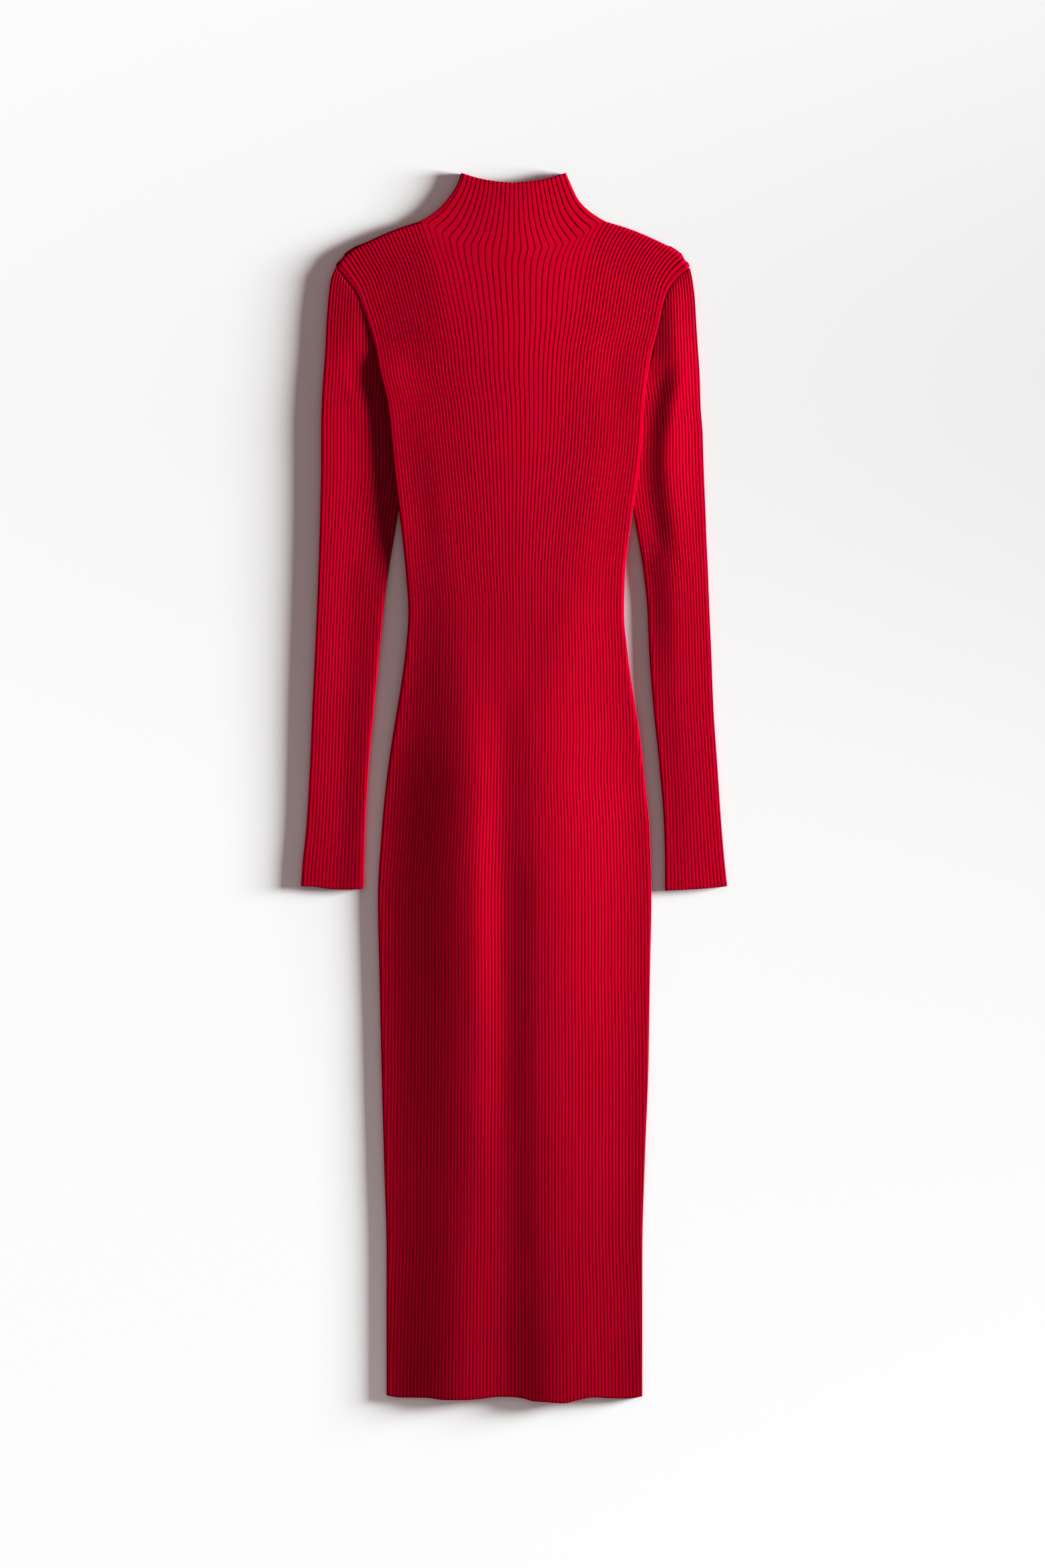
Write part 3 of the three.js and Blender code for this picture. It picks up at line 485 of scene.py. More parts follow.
def rib_share(n, ribs, wide):
    """Part of the half width reached at rib n (array): ribs are wider near the middle."""
    i = np.arange(RIBS["half"])
    stretch = 1 + wide * np.exp(-(((i + 0.5) / RIBS["wide"]) ** 2))
    weight = np.clip(ribs - i, RIBS["faded"], 1) * stretch
    return (weight * np.clip(np.asarray(n)[:, None] - i, 0, 1)).sum(1) / weight.sum()


def sleeve_share(n, ribs):
    """Part of the way across a sleeve reached at rib n, counted from its outer edge."""
    i = np.arange(RIBS["sleeve"])
    weight = np.clip(ribs[..., None] - i, RIBS["faded"], 1)
    return (weight * np.clip(n[..., None] - i, 0, 1)).sum(-1) / weight.sum(-1)


def cuff_share(columns):
    """The same at the cuff."""
    return sleeve_share(columns, np.full(columns.shape, RIBS["cuff"]))


def flat_way(part, half, drop):
    """Flat distance from the middle for a part of the way round the cloth to its edge."""
    arc = FLAT["round"] + EDGE["bend"] * drop
    way = part * (half - FLAT["round"] + arc)
    turn = np.clip((way - half + FLAT["round"]) / arc, 0, 1)
    bend = turn + (np.sin(turn * math.pi / 2) - turn) * min(1, drop / EDGE["full"])
    bent = half - FLAT["round"] + FLAT["round"] * bend
    return np.where(way <= half - FLAT["round"], way, bent)


def top_place(n, name):
    """Top end of each rib of the body: the neck's foot, or the shoulder line."""
    ribs, wide = BODY["ribs"][0], BODY["wide"][0]
    part = n / RIBS["neck_half"]
    inner = (part * shoulder_at[name](0), foot_at["y"](np.clip(part, 0, 1)))
    start = rib_share(np.array([float(RIBS["neck_half"])]), ribs, wide)[0]
    along = np.clip((rib_share(n, ribs, wide) - start) / (1 - start), 0, 1)
    outer = (shoulder_at[name](along), shoulder_at["y"](along))
    neck = n <= RIBS["neck_half"]
    return np.where(neck, inner[0], outer[0]), np.where(neck, inner[1], outer[1])


def middle_and_half(left, right):
    return (left + right) / 2, (right - left) / 2


def body_rows(columns):
    """Plan places of the body's rows, hem to shoulder, for signed rib numbers."""
    n = np.abs(columns)
    side = np.where(columns < 0, -1, 1)
    xs, ys, weights = [], [], []
    first, course = BODY_ROWS["hem"], BODY_ROWS["course"]
    even = np.arange(BODY_ROWS["start"], BODY_ROWS["end"], BODY_ROWS["step"])
    for k, y in enumerate(np.concatenate([[0], course, even]) - first):
        at = {name: float(c(y)) for name, c in body_at.items()}
        mid, half = middle_and_half(at["left"], at["right"])
        drop = EDGE["drop"] * float(soft((UNDERARM_Y - y) / EDGE["fade"]))
        x = mid + side * flat_way(rib_share(n, at["ribs"], at["wide"]), half, drop)
        hem = hem_at["y"](x) + first
        if k > len(course):
            hem = hem * math.exp(-k * BODY_ROWS["step"] / BODY_ROWS["fade"])
        xs.append(x)
        ys.append(np.full_like(x, y) + hem)
        weights.append(rib_weight(n, at["ribs"]))
    ribs = BODY["ribs"][0]
    low = rib_share(n, ribs, BODY["wide"][0])
    tops = {s: top_place(n, SIDE_NAME[s]) for s in SIDE_NAME}
    top_x = np.where(side < 0, tops[-1][0], tops[1][0])
    top_y = np.where(side < 0, tops[-1][1], tops[1][1])
    top_mid, top_half = middle_and_half(ARMHOLE["left"][0], ARMHOLE["right"][0])
    for part in ARM_ROWS:
        mid, half = middle_and_half(float(arm_at["left"](part)), float(arm_at["right"](part)))
        u = side * (top_x - top_mid) / top_half * (1 - part) + low * part
        xs.append(top_x if part == 0 else mid + side * half * u)
        ys.append(top_y + (UNDERARM_Y - top_y) * part)
        weights.append(rib_weight(n, ribs))
    return np.array(xs), np.array(ys), np.array(weights)


def neck_rows(columns):
    """Plan places of the neck's rows, above its foot."""
    side = np.where(columns < 0, -1, 1)
    part = np.abs(columns) / RIBS["neck_half"]
    foot, crown = foot_at["y"](part), crown_at["y"](part)
    low, high = NECK_SIDE["y"][0], NECK_SIDE["y"][-1]
    xs, ys = [], []
    for rise in NECK_ROWS:
        half = np.where(side < 0, -float(neck_at["left"](rise)), float(neck_at["right"](rise)))
        xs.append(side * flat_way(part, half, EDGE["narrow_drop"]))
        ys.append(foot + (crown - foot) * ((float(neck_at["y"](rise)) - low) / (high - low)))
    return np.array(xs), np.array(ys)


# Grooves.
def columns_of(half, steps):
    """Signed rib numbers with the given places inside each rib."""
    up = np.concatenate([k + np.array(steps) for k in range(half)] + [[half]])
    return np.concatenate([-up[::-1][:-1], up])


def keep_groove_width(columns, x, y):
    """Shifts the columns beside each groove so that it has one width whatever the rib's width.

    Gives the distance from the groove as well, which the shade painted into the grooves follows.
    """
    whole = np.floor(columns + SAME_RIB)
    part = columns - whole
    low = np.searchsorted(columns, whole - SAME_RIB)
    high = np.searchsorted(columns, whole + 1 - SAME_RIB)
    high = np.minimum(high, len(columns) - 1)
    pitch = np.maximum(np.abs(x[:, high] - x[:, low]), GROOVE["least"])
    near = np.minimum(part, 1 - part)
    moved = np.minimum(near * ACROSS["pitch"] / pitch, GROOVE["far"])
    kept = np.where(near > GROOVE["near"], near, moved)
    place = np.where(part < 0.5, kept, 1 - kept)
    away = kept * np.maximum(pitch, GROOVE["least_shade"])
    last = columns >= columns[-1] - SAME_RIB
    place, away = np.where(last, 0, place), np.where(last, 0, away)

    def blend(v):
        return np.where(last, v, v[:, low] + (v[:, high] - v[:, low]) * place)

    return blend(x), blend(y), away


def groove_depth(columns, depth, weight, y):
    """Depth below a rib's crown: a narrow groove with steep sides and an almost flat top."""
    n = np.abs(columns)
    near = np.minimum(n % 1, 1 - n % 1)
    profile = np.interp(near, [0, ACROSS["floor"], ACROSS["edge"]], [1, GROOVE["side"], 0])
    on_crown = (near >= ACROSS["edge"] - SAME_RIB) * (depth >= CLOTH["rib"])
    crown = CLOTH["crown"] * (1 - 2 * near) * on_crown
    central = 1 - soft((n - BOLD["rib"]) / (BOLD["last_rib"] - BOLD["rib"]))
    high = soft((y - BOLD["shoulder"]) / (BOLD["top"] - BOLD["shoulder"]))
    bold = np.maximum(central, high) * soft((y - BOLD["from"]) / (BOLD["to"] - BOLD["from"]))
    bold = BOLD["soft"] + (1 - BOLD["soft"]) * bold
    return (depth * profile * bold + crown) * np.clip(weight, 0, 1) ** GROOVE["squeezed"]


def edge_fade(height, width):
    """Lets the grooves set in over this width, from an edge of the cloth."""
    return soft((height + PLAIN_EDGE["before"]) / width)


# Meshes.
class Skin:
    """Collects the points of a mesh with the values that its material reads."""

    def __init__(self):
        self.count = 0
        self.points = []
        self.values = {"rib": [], "course": [], "groove": []}

    def add(self, place, rib, course, groove):
        """Adds a grid of points and gives their numbers."""
        shape = course.shape
        self.points.append(np.stack(place, -1).reshape(-1, 3))
        for key, value in (("rib", rib), ("course", course), ("groove", groove)):
            self.values[key].append(np.broadcast_to(value, shape).ravel())
        ids = np.arange(course.size).reshape(shape) + self.count
        self.count += course.size
        return ids

    def make(self, name, quads, tris, material):
        """The mesh object with these faces."""
        mesh = bpy.data.meshes.new(name)
        points = (np.vstack(self.points) - [SHIFT_X, SHIFT_Y, 0]) * MM
        faces = [list(map(int, face)) for face in list(np.vstack(quads)) + tris]
        mesh.from_pydata(points.tolist(), [], faces)
        mesh.update()
        for key, values in self.values.items():
            layer = mesh.attributes.new(key, "FLOAT", "POINT")
            layer.data.foreach_set("value", np.concatenate(values).astype(np.float32))
        mesh.polygons.foreach_set("use_smooth", [True] * len(mesh.polygons))
        self.sharpen(mesh)
        mesh.materials.append(material)
        return in_scene(bpy.data.objects.new(name, mesh))

    def sharpen(self, mesh):
        """Ends the crown of each rib in a crisp line beside the groove."""
        ends = np.empty(len(mesh.edges) * 2, int)
        mesh.edges.foreach_get("vertices", ends)
        n = np.abs(np.concatenate(self.values["rib"])[ends.reshape(-1, 2)])
        near = np.minimum(n[:, 0] % 1, 1 - n[:, 0] % 1)
        crisp = (np.abs(n[:, 0] - n[:, 1]) < SAME_RIB) & (np.abs(near - ACROSS["edge"]) < SAME_RIB)
        mesh.attributes.new("sharp_edge", "BOOLEAN", "EDGE").data.foreach_set("value", crisp)


def in_scene(obj):
    bpy.context.scene.collection.objects.link(obj)
    return obj


def grid_quads(ids, flip):
    """Faces of a grid of points, turned over if flip is set."""
    a, b, c, d = ids[:-1, :-1], ids[:-1, 1:], ids[1:, 1:], ids[1:, :-1]
    return np.stack([a, d, c, b] if flip else [a, b, c, d], -1).reshape(-1, 4)


def band(low, high):
    """Triangles between two rows of (id, at); the first row is walked forwards."""
    tris = []
    i = j = 0
    while i + 1 < len(low) or j + 1 < len(high):
        low_ends, high_ends = i + 1 >= len(low), j + 1 >= len(high)
        if high_ends or (not low_ends and low[i + 1][1] <= high[j + 1][1] + SAME):
            tris.append((low[i][0], low[i + 1][0], high[j][0]))
            i += 1
        else:
            tris.append((low[i][0], high[j + 1][0], high[j][0]))
            j += 1
    return tris


def make_panel(name, faces, columns, depth, faces_down, material):
    """Front or back with its half of the neck. Faces and columns are (outer, inner)."""
    skin = Skin()

    def sheet(columns, place, rib_depth):
        """One face of the panel: its part on the body, and the neck that goes on from there."""
        x, y, weight = body_rows(columns)
        x, y, away = keep_groove_width(columns, x, y)
        groove = groove_depth(columns, rib_depth, weight, y)
        groove = groove * edge_fade(y - y[0], PLAIN_EDGE["hem"])
        body = skin.add(place(x, y, groove), columns, y, away)
        inner = np.flatnonzero(np.abs(columns) <= RIBS["neck_half"])
        ribs = columns[inner]
        x, y, away = keep_groove_width(ribs, *neck_rows(ribs))
        groove = groove_depth(ribs, rib_depth, np.ones_like(x), y)
        groove = groove * edge_fade(y[-1] - y, PLAIN_EDGE["neck"])
        neck = np.vstack([body[-1][inner], skin.add(place(x, y, groove), ribs, y, away)])
        return dict(body=body, neck=neck, first=inner[0], last=inner[-1], columns=columns)

    outer = sheet(columns[0], faces[0], depth)
    inner = sheet(columns[1], faces[1], 0.0)
    quads, tris = [], []
    for s, flip in ((outer, faces_down), (inner, not faces_down)):
        quads += [grid_quads(s["body"], flip), grid_quads(s["neck"], flip)]

    def close(a, b):
        tris.extend(band(a, b) if faces_down else band(b, a))

    def row(s, ids, start):
        """Points of a row with their rib numbers."""
        return [(int(v), s["columns"][start + k]) for k, v in enumerate(ids)]

    def shoulder(s, a, b):
        return row(s, s["body"][-1][a:b + 1], a)

    def edge(s, grid, column):
        """Points up a side edge with their row numbers."""
        return [(int(v), k) for k, v in enumerate(s[grid][:, column])]

    close(row(outer, outer["body"][0], 0), row(inner, inner["body"][0], 0))
    close(shoulder(inner, 0, inner["first"]), shoulder(outer, 0, outer["first"]))
    close(*(shoulder(s, s["last"], len(s["columns"]) - 1) for s in (inner, outer)))
    close(*(row(s, s["neck"][-1], s["first"]) for s in (inner, outer)))
    for grid in ("body", "neck"):
        close(edge(inner, grid, 0), edge(outer, grid, 0))
        close(edge(outer, grid, -1), edge(inner, grid, -1))
    return skin.make(name, quads, tris, material)


# Sleeves.
def sleeve_shape(side, x, y):
    """Heights of a sleeve's faces at many places, and how its edges round off there."""
    at = sleeve_at[side]
    outer, inner = np.abs(x - at["outer"](y)), np.abs(at["inner"](y) - x)
    tuck = at["tuck"](y) * (1 - soft((inner - TUBE["tuck_from"]) / TUBE["tuck_width"]))
    lay = {name: c(y) for name, c in sleeve_lay_at[side].items()}
    part = np.clip(outer / (outer + inner), 0, 1)
    ones = np.ones_like(part)
    places = [0 * ones, TUBE["middle"] * ones, ones]
    plain = through(places, [lay["outer"], lay["middle"], lay["inner"]], part)
    top = plain + (np.minimum(plain, FLAT["tucked"]) - plain) * tuck
    near_outer = outer < inner
    inner_seam = np.minimum(lay["inner"], top) * TUBE["inner_seam"]
    seam = np.where(near_outer, lay["outer"] * TUBE["outer_seam"], inner_seam)
    e = np.clip(1 - np.minimum(outer, inner) / FLAT["round"], 0, 1)
    wall = CLOTH["wall"] * TUBE["wall"]
    turn = turned(top - seam, wall)
    inward = np.where(near_outer, -side, side)
    return dict(top=top, seam=seam, e=e, sine=edge_height(e), turn=turn, inward=inward, wall=wall)


# The faces of a sleeve. Each also takes the depth of the dip at the armhole.
def sleeve_above(side, x, y, groove, crease):
    s = sleeve_shape(side, x, y)
    out = (s["top"] - s["seam"]) * s["e"]
    up = FLAT["round"] * (s["sine"] + 1 - s["turn"]) + NOT_ZERO
    size = np.hypot(out, up)
    z = s["top"] - (s["top"] - s["seam"]) * (1 - s["sine"]) - crease
    return x + s["inward"] * out / size * groove, y, z - up / size * groove


def sleeve_below(side, x, y, groove, crease):
    s = sleeve_shape(side, x, y)
    return x, y, s["seam"] * (1 - s["sine"]) + groove * s["sine"]


def sleeve_roof(side, x, y, groove, crease):
    s = sleeve_shape(side, x, y)
    drop = (s["top"] - s["seam"] - s["wall"] * s["turn"]) * (1 - s["sine"])
    return x + s["inward"] * s["wall"] * s["turn"] * s["e"], y, s["top"] - s["wall"] - drop


def sleeve_floor(side, x, y, groove, crease):
    s = sleeve_shape(side, x, y)
    edge = s["seam"] - s["wall"] * (1 - s["turn"])
    z = TUBE["floor"] + (edge - TUBE["floor"]) * (1 - s["sine"])
    return x + s["inward"] * s["wall"] * s["turn"] * s["e"], y, z


def sleeve_grid(side, columns):
    """Plan places on a sleeve for rib numbers counted from its outer edge."""
    at, name = sleeve_at[side], SIDE_NAME[side]

    def across(n, y):
        off = sleeve_share(n, at["ribs"](y)) - 0.5
        half = np.abs(at["inner"](y) - at["outer"](y)) / 2
        flat = flat_way(2 * np.abs(off), half, EDGE["narrow_drop"])
        return (at["inner"](y) + at["outer"](y)) / 2 - side * np.sign(off) * flat

    # each rib starts where it meets the armhole
    low, high = np.full(columns.shape, UNDERARM_Y), np.full(columns.shape, TIP_Y)
    for _ in range(HALVINGS):
        mid = (low + high) / 2
        seam = arm_at[name]((TIP_Y - mid) / (TIP_Y - UNDERARM_Y)) + side * ARM_SEAM["gap"]
        out = side * (seam - across(columns, mid)) < 0
        low, high = np.where(out, mid, low), np.where(out, high, mid)
    start = np.minimum(low, TIP_Y - ARM_SEAM["tip"]) - ARM_SEAM["gap"]
    end = cuff_at[name](cuff_share(columns))
    y = start + (end - start) * SLEEVE_ROWS[:, None]
    n = np.broadcast_to(columns, y.shape)
    dip = np.exp(-(((start - y) / ARM_SEAM["sleeve_crease_width"]) ** 2))
    return across(n, y), y, n, ARM_SEAM["crease"] * dip, rib_weight(n, at["ribs"](y))


def make_sleeve(name, side, material):
    """A sleeve: one tube inside another, each of a top and an underside, closed at both ends."""
    skin = Skin()
    ribs = range(RIBS["sleeve"])
    top = np.concatenate([k + np.array(FINE) for k in ribs] + [[RIBS["sleeve"]]])
    under = np.concatenate([k + np.array(PLAIN) for k in ribs])[1:][::-1]
    coarse = np.array(SLEEVE_INSIDE, float)

    def loop(parts):
        """One tube, with its way round: 0 to 1 across the top and on to 2 back underneath."""
        grids, at = [], []
        for columns, place, depth, below in parts:
            x, y, n, crease, weight = sleeve_grid(side, columns)
            order = 1 if columns[0] < columns[-1] else -1
            kept = keep_groove_width(columns[::order], x[:, ::order], y[:, ::order])
            x, y, away = [v[:, ::order] for v in kept]
            # counted on from the body's ribs, so that the sleeves' grooves are the soft ones
            groove = groove_depth(columns + RIBS["half"], depth, weight, y)
            groove *= edge_fade(y - y[-1], PLAIN_EDGE["hem"])
            least = PLAIN_EDGE["least"]
            groove *= least + (1 - least) * soft((y[0] - y) / PLAIN_EDGE["armhole"])
            ids = skin.add(place(side, x, y, groove, crease), n + RIBS["half"], y, away)
            grids.append(ids)
            share = cuff_share(columns)
            at.append(2 - share if below else share)
        return np.hstack(grids + [grids[0][:, :1]]), np.concatenate(at + [[2.0]])

    outside, at_out = loop([
        (top, sleeve_above, CLOTH["rib"], False),
        (under, sleeve_below, CLOTH["under_rib"], True),
    ])
    inside, at_in = loop([
        (coarse, sleeve_roof, 0, False),
        (coarse[1:-1][::-1], sleeve_floor, 0, True),
    ])
    flip = side < 0
    tris = []
    for row, swap in ((0, flip), (-1, not flip)):
        a = list(zip(inside[row].tolist(), at_in.tolist()))
        b = list(zip(outside[row].tolist(), at_out.tolist()))
        tris += band(b, a) if swap else band(a, b)
    quads = [grid_quads(outside, flip), grid_quads(inside, not flip)]
    return skin.make(name, quads, tris, material)


# Materials.
# wales: columns of stitches on a rib. slant: slope of the V that each stitch makes. wale_edge,
# wale_power: depth of the line between two wales and how narrow it is. stitch_high, fuzz_high:
# how high stitches and fuzz are. bump_depth: in metres. fuzz, cloud: scale and detail of the
# noises. painted_shade: distances from a groove (mm) between which the shade painted into it
# clears. painted_groove_shade, painted_bold_shade: tone of that painted shade in a soft groove,
# and what a bold one takes off. stitch_painted_shade: how much shade is painted along each
# stitch's
# height. cloud_tone, fuzz_tone: how much the tone varies.
KNIT = {
    "wales": 3.0, "slant": 0.9, "wale_edge": -0.8, "wale_power": 4.0, "stitch_high": 0.5,
    "fuzz_high": 1.6, "bump": 0.1, "bump_depth": 0.00016, "fuzz": (900, 3), "cloud": (14, 4),
    "painted_shade": (0.36, 0.66), "painted_groove_shade": 0.4, "painted_bold_shade": 0.17, "cloud_tone": 0.16, "fuzz_tone": 0.3,
    "stitch_painted_shade": 0.05, "colour": (0.28, 0.0003, 0.021), "rough": 0.85, "sheen": 0.05,
    "sheen_rough": 0.45, "sheen_tint": (0.9, 0.0, 0.05, 1),
}


def new_material(name):
    """A material with its node tree and its principled shader."""
    mat = bpy.data.materials.new(name)
    mat.use_nodes = True
    return mat, mat.node_tree, mat.node_tree.nodes["Principled BSDF"]


def math_node(tree, op, *values):
    """Output of a math node on numbers or other nodes' outputs."""
    node = tree.nodes.new("ShaderNodeMath")
    node.operation = op
    for socket, value in zip(node.inputs, values):
        if isinstance(value, (int, float)):
            socket.default_value = value
        else:
            tree.links.new(value, socket)
    return node.outputs[0]


def object_place(tree):
    return tree.nodes.new("ShaderNodeTexCoord").outputs["Object"]


def knit_material():
    """Red rib knit, drawn along the rib and course numbers of the mesh, with shade painted into
    its grooves and along its stitches.
    """
    mat, tree, shader = new_material("red_rib_knit")
    place = object_place(tree)

    def calc(op, *values):
        return math_node(tree, op, *values)

    def attribute(name):
        node = tree.nodes.new("ShaderNodeAttribute")
        node.attribute_name = name
        return node.outputs["Fac"]

    def noise(scale, detail):
        node = tree.nodes.new("ShaderNodeTexNoise")
        node.inputs["Scale"].default_value = scale
        node.inputs["Detail"].default_value = detail
        tree.links.new(place, node.inputs["Vector"])
        return node.outputs["Fac"]

    def rise(value, low, high):
        node = tree.nodes.new("ShaderNodeMapRange")
        node.interpolation_type = "SMOOTHSTEP"
        tree.links.new(value, node.inputs["Value"])
        node.inputs["From Min"].default_value = low
        node.inputs["From Max"].default_value = high
        return node.outputs["Result"]

    def vary(value, swing):
        """Follows a noise around 1."""
        return calc("ADD", calc("MULTIPLY", value, swing), 1 - swing / 2)

    course = attribute("course")
    count = calc("ABSOLUTE", attribute("rib"))
    fuzz, cloud = noise(*KNIT["fuzz"]), noise(*KNIT["cloud"])

    # wales of stitches side by side on a rib, each stitch a small V
    wale = calc("FRACT", calc("MULTIPLY", calc("FRACT", count), KNIT["wales"]))
    wale = calc("ABSOLUTE", calc("SUBTRACT", wale, 0.5))
    phase = calc("DIVIDE", course, CLOTH["stitch"])
    phase = calc("SUBTRACT", phase, calc("MULTIPLY", wale, KNIT["slant"]))
    stitch = calc("SINE", calc("MULTIPLY", phase, 2 * math.pi))
    wale_dip = calc("POWER", calc("MULTIPLY", wale, 2.0), KNIT["wale_power"])
    wale_dip = calc("MULTIPLY", wale_dip, KNIT["wale_edge"])
    height = calc("ADD", calc("MULTIPLY", stitch, KNIT["stitch_high"]), wale_dip)
    height = calc("ADD", height, calc("MULTIPLY", fuzz, KNIT["fuzz_high"]))
    bump = tree.nodes.new("ShaderNodeBump")
    bump.inputs["Strength"].default_value = KNIT["bump"]
    bump.inputs["Distance"].default_value = KNIT["bump_depth"]
    tree.links.new(height, bump.inputs["Height"])

    # painted shade: the yarn in a groove is coloured darker than the rest, most in the bold
    # grooves, on top of the shade that the groove's depth gives
    central = calc("SUBTRACT", 1.0, rise(count, BOLD["rib"], BOLD["last_rib"]))
    central = calc("MAXIMUM", central, rise(course, BOLD["shoulder"], BOLD["top"]))
    bold = calc("MULTIPLY", rise(course, BOLD["from"], BOLD["to"]), central)
    lowest = calc("SUBTRACT", KNIT["painted_groove_shade"], calc("MULTIPLY", bold, KNIT["painted_bold_shade"]))
    open_part = rise(attribute("groove"), *KNIT["painted_shade"])
    painted_shade = calc("MULTIPLY", calc("SUBTRACT", 1.0, lowest), open_part)
    painted_shade = calc("ADD", lowest, painted_shade)

    tone = calc("MULTIPLY", vary(cloud, KNIT["cloud_tone"]), vary(fuzz, KNIT["fuzz_tone"]))
    # painted shade: the tone is lighter on each stitch's top and darker between, following its
    # height
    painted_stitch_shade = calc("ADD", calc("MULTIPLY", stitch, KNIT["stitch_painted_shade"]), 1.0)
    tone = calc("MULTIPLY", calc("MULTIPLY", tone, painted_stitch_shade), painted_shade)
    colour = tree.nodes.new("ShaderNodeVectorMath")
    colour.operation = "SCALE"
    colour.inputs[0].default_value = KNIT["colour"]
    tree.links.new(tone, colour.inputs["Scale"])

    tree.links.new(colour.outputs[0], shader.inputs["Base Color"])
    tree.links.new(bump.outputs["Normal"], shader.inputs["Normal"])
    shader.inputs["Roughness"].default_value = KNIT["rough"]
    shader.inputs["Specular IOR Level"].default_value = 0.0
    shader.inputs["Sheen Weight"].default_value = KNIT["sheen"]
    shader.inputs["Sheen Roughness"].default_value = KNIT["sheen_rough"]
    shader.inputs["Sheen Tint"].default_value = KNIT["sheen_tint"]
    return mat


# Build the dress.
knit = knit_material()
inner_columns = np.array([-n for n in BODY_INSIDE[:0:-1]] + BODY_INSIDE, float)
front = make_panel(
    "dress_front", (front_outer, front_inner), (columns_of(RIBS["half"], FINE), inner_columns),
    CLOTH["rib"], False, knit,
)
back = make_panel(
    "dress_back", (back_outer, back_inner), (columns_of(RIBS["half"], PLAIN), inner_columns),
    CLOTH["under_rib"], True, knit,
)
left = make_sleeve("dress_sleeve_left", -1, knit)
right = make_sleeve("dress_sleeve_right", 1, knit)

for piece, node_name in (
    (front, "front"), (back, "back"), (left, "sleeve_left"), (right, "sleeve_right"),
):
    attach(piece, "root")
    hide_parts(node_name)

# Floor, light and camera, in metres.
# spread: of the beam, in degrees. softness: how blunt its peak is. fill: light from all round.
# paper: how bright the floor looks. painted_red_bounce: red light that the floor gives off itself
# everywhere, painted bounce light from the dress that warms the shadows on the floor.
LIGHT = {
    "place": (3.2, 0.45, 0.43), "aim": (0, 0.39, 0), "size": (1.0, 0.52), "power": 173,
    "spread": 62, "softness": 0.0061, "fill": 0.57, "paper": 0.963, "painted_red_bounce": (0.095, 0.0, 0.0),
}
# below: how far the floor is under the dress, so that the two never touch.
FLOOR = {"half": 6, "below": 0.0003, "palest": 0.92, "darkest": 0.22}
CAMERA = {"place": (0.0082, 0.0036, 3.0), "sensor": 36, "half_view": 0.7705, "clip_end": 30}
VIEW_GAMMA = 0.74
HALF_BEAM = math.radians(LIGHT["spread"] / 2)
# A narrowed area light is this much brighter straight ahead.
BEAM_GAIN = math.tan(HALF_BEAM) / (math.tan(HALF_BEAM) - HALF_BEAM)


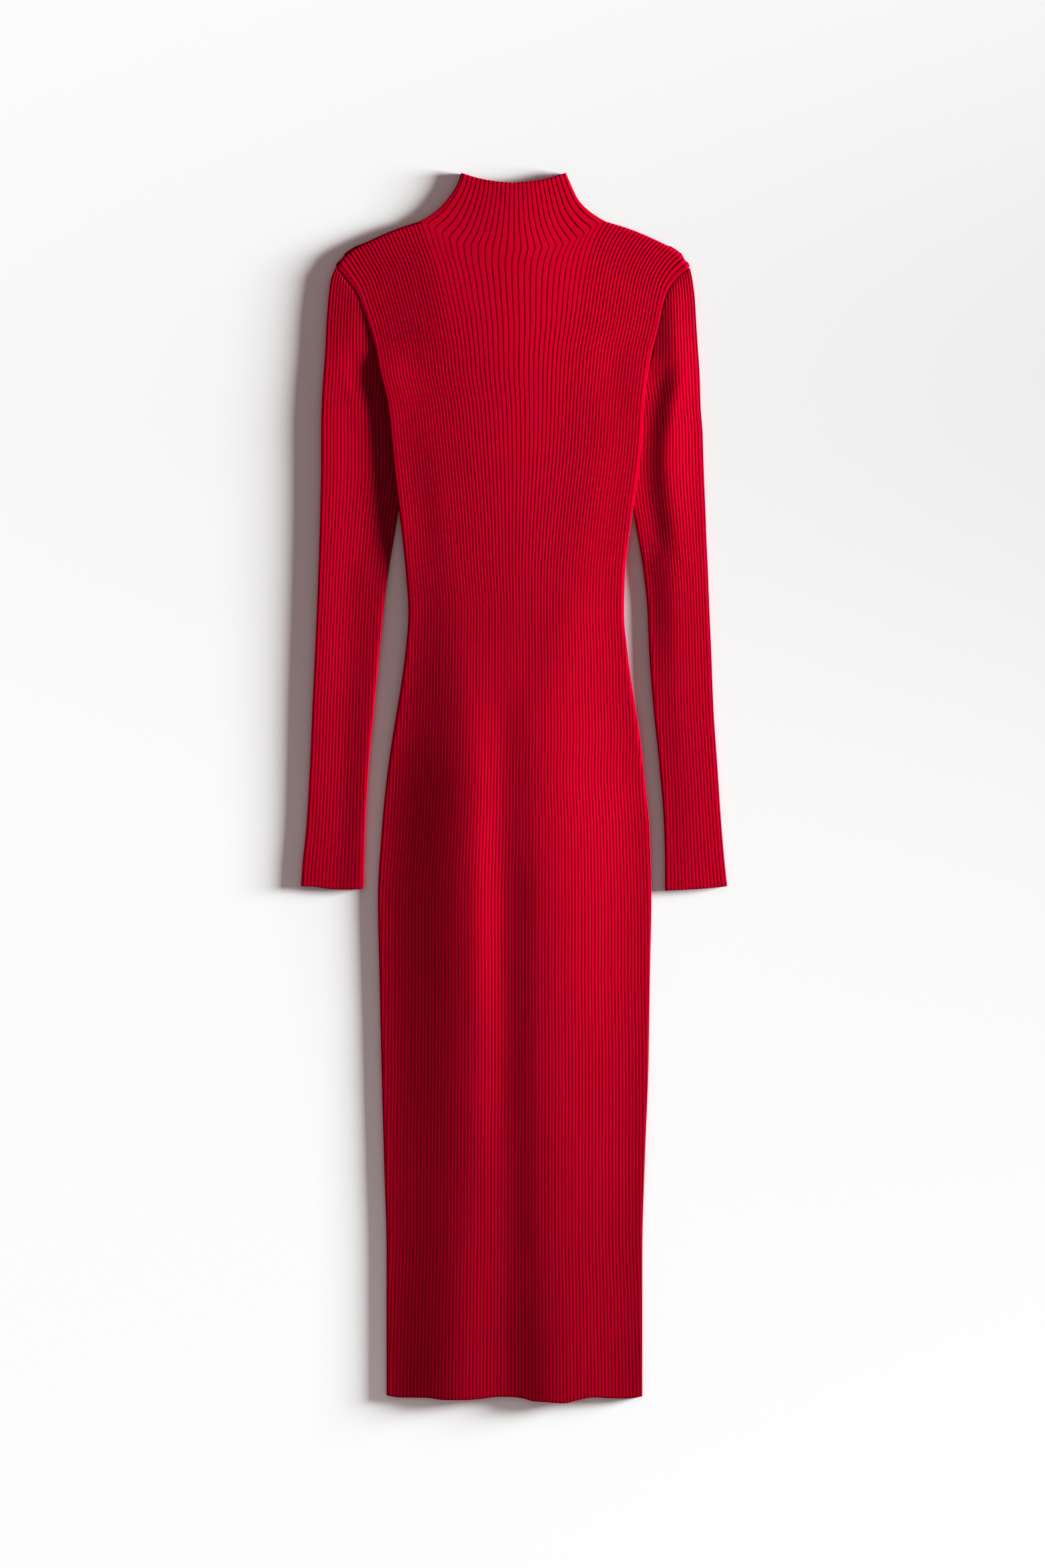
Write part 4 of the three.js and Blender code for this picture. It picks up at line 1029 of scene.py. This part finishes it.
def floor_material():
    """A pale floor, painted so that it looks evenly lit although the light falls off over it."""
    mat, tree, shader = new_material("pale_floor")
    shader.inputs["Roughness"].default_value = 1.0
    shader.inputs["Specular IOR Level"].default_value = 0.0

    def calc(op, *values):
        return math_node(tree, op, *values)

    def vector(op, *values):
        node = tree.nodes.new("ShaderNodeVectorMath")
        node.operation = op
        for socket, value in zip(node.inputs, values):
            if isinstance(value, bpy.types.NodeSocket):
                tree.links.new(value, socket)
            else:
                socket.default_value = value
        return node.outputs["Value" if op in ("DISTANCE", "DOT_PRODUCT") else "Vector"]

    lamp = np.array(LIGHT["place"])
    aim = np.array(LIGHT["aim"]) - lamp
    aim /= np.linalg.norm(aim)
    place = object_place(tree)
    away = vector("DISTANCE", place, lamp)
    ahead = vector("DOT_PRODUCT", vector("SUBTRACT", place, lamp), aim)
    off = calc("SUBTRACT", calc("POWER", away, 2.0), calc("POWER", ahead, 2.0))
    off = calc("SQRT", off)
    # the lamp is a wide one, so its beam has no sharp peak
    wide = calc("ADD", calc("POWER", calc("DIVIDE", off, ahead), 2.0), LIGHT["softness"])
    beam = calc("DIVIDE", calc("SQRT", wide), math.tan(HALF_BEAM))
    beam = calc("MAXIMUM", calc("SUBTRACT", 1.0, beam), 0.0)
    # it falls off with the distance, and with the slant to the lamp and to the floor
    strength = BEAM_GAIN * LIGHT["power"] * lamp[2] / math.pi ** 2
    key = calc("MULTIPLY", calc("DIVIDE", ahead, calc("POWER", away, 4.0)), strength)
    light = calc("ADD", calc("MULTIPLY", key, beam), LIGHT["fill"])
    spread = tree.nodes.new("ShaderNodeCombineXYZ")
    for socket in spread.inputs:
        tree.links.new(light, socket)
    light = spread.outputs[0]

    # what colour cannot give where little light arrives, the floor gives off itself; everywhere it
    # gives off at least a faint red glow, painted bounce light from the dress in the floor's
    # shadows
    paper, painted_red_bounce = np.full(3, LIGHT["paper"]), np.array(LIGHT["painted_red_bounce"])
    palest, darkest = np.full(3, FLOOR["palest"]), np.full(3, FLOOR["darkest"])
    albedo = vector("MINIMUM", vector("DIVIDE", paper - painted_red_bounce, light), palest)
    albedo = vector("MAXIMUM", albedo, darkest)
    missing = vector("MAXIMUM", vector("MULTIPLY_ADD", light, -palest, paper), painted_red_bounce)
    tree.links.new(albedo, shader.inputs["Base Color"])
    tree.links.new(missing, shader.inputs["Emission Color"])
    shader.inputs["Emission Strength"].default_value = 1.0
    return mat


def area_light(name, place, aim, size, energy, spread):
    """A rectangular lamp that is turned towards aim."""
    light = bpy.data.lights.new(name, "AREA")
    light.shape = "RECTANGLE"
    light.size, light.size_y = size
    light.energy = energy
    light.spread = math.radians(spread)
    obj = in_scene(bpy.data.objects.new(name, light))
    obj.location = place
    way = np.array(aim, float) - np.array(place, float)
    pitch = math.atan2(math.hypot(way[0], way[1]), -way[2])
    obj.rotation_euler = (pitch, 0, math.atan2(-way[0], way[1]))


floor_mesh = bpy.data.meshes.new("floor")
far = FLOOR["half"]
corners = [(-far, -far, 0), (far, -far, 0), (far, far, 0), (-far, far, 0)]
floor_mesh.from_pydata(corners, [], [(0, 1, 2, 3)])
floor_mesh.materials.append(floor_material())
floor = in_scene(bpy.data.objects.new("floor", floor_mesh))
floor.location.z = -FLOOR["below"]

world = bpy.data.worlds.new("studio")
bpy.context.scene.world = world
world.use_nodes = True
background = world.node_tree.nodes["Background"]
background.inputs["Color"].default_value = (1, 1, 1, 1)
background.inputs["Strength"].default_value = LIGHT["fill"]
area_light("window", *(LIGHT[key] for key in ("place", "aim", "size", "power", "spread")))

camera_data = bpy.data.cameras.new("camera")
camera_data.lens = CAMERA["sensor"] / 2 / (CAMERA["half_view"] / CAMERA["place"][2])
camera_data.sensor_width = CAMERA["sensor"]
camera_data.clip_end = CAMERA["clip_end"]
camera = in_scene(bpy.data.objects.new("camera", camera_data))
camera.location = CAMERA["place"]
bpy.context.scene.camera = camera
bpy.context.scene.view_settings.view_transform = "Standard"
bpy.context.scene.view_settings.look = "None"
bpy.context.scene.view_settings.gamma = VIEW_GAMMA
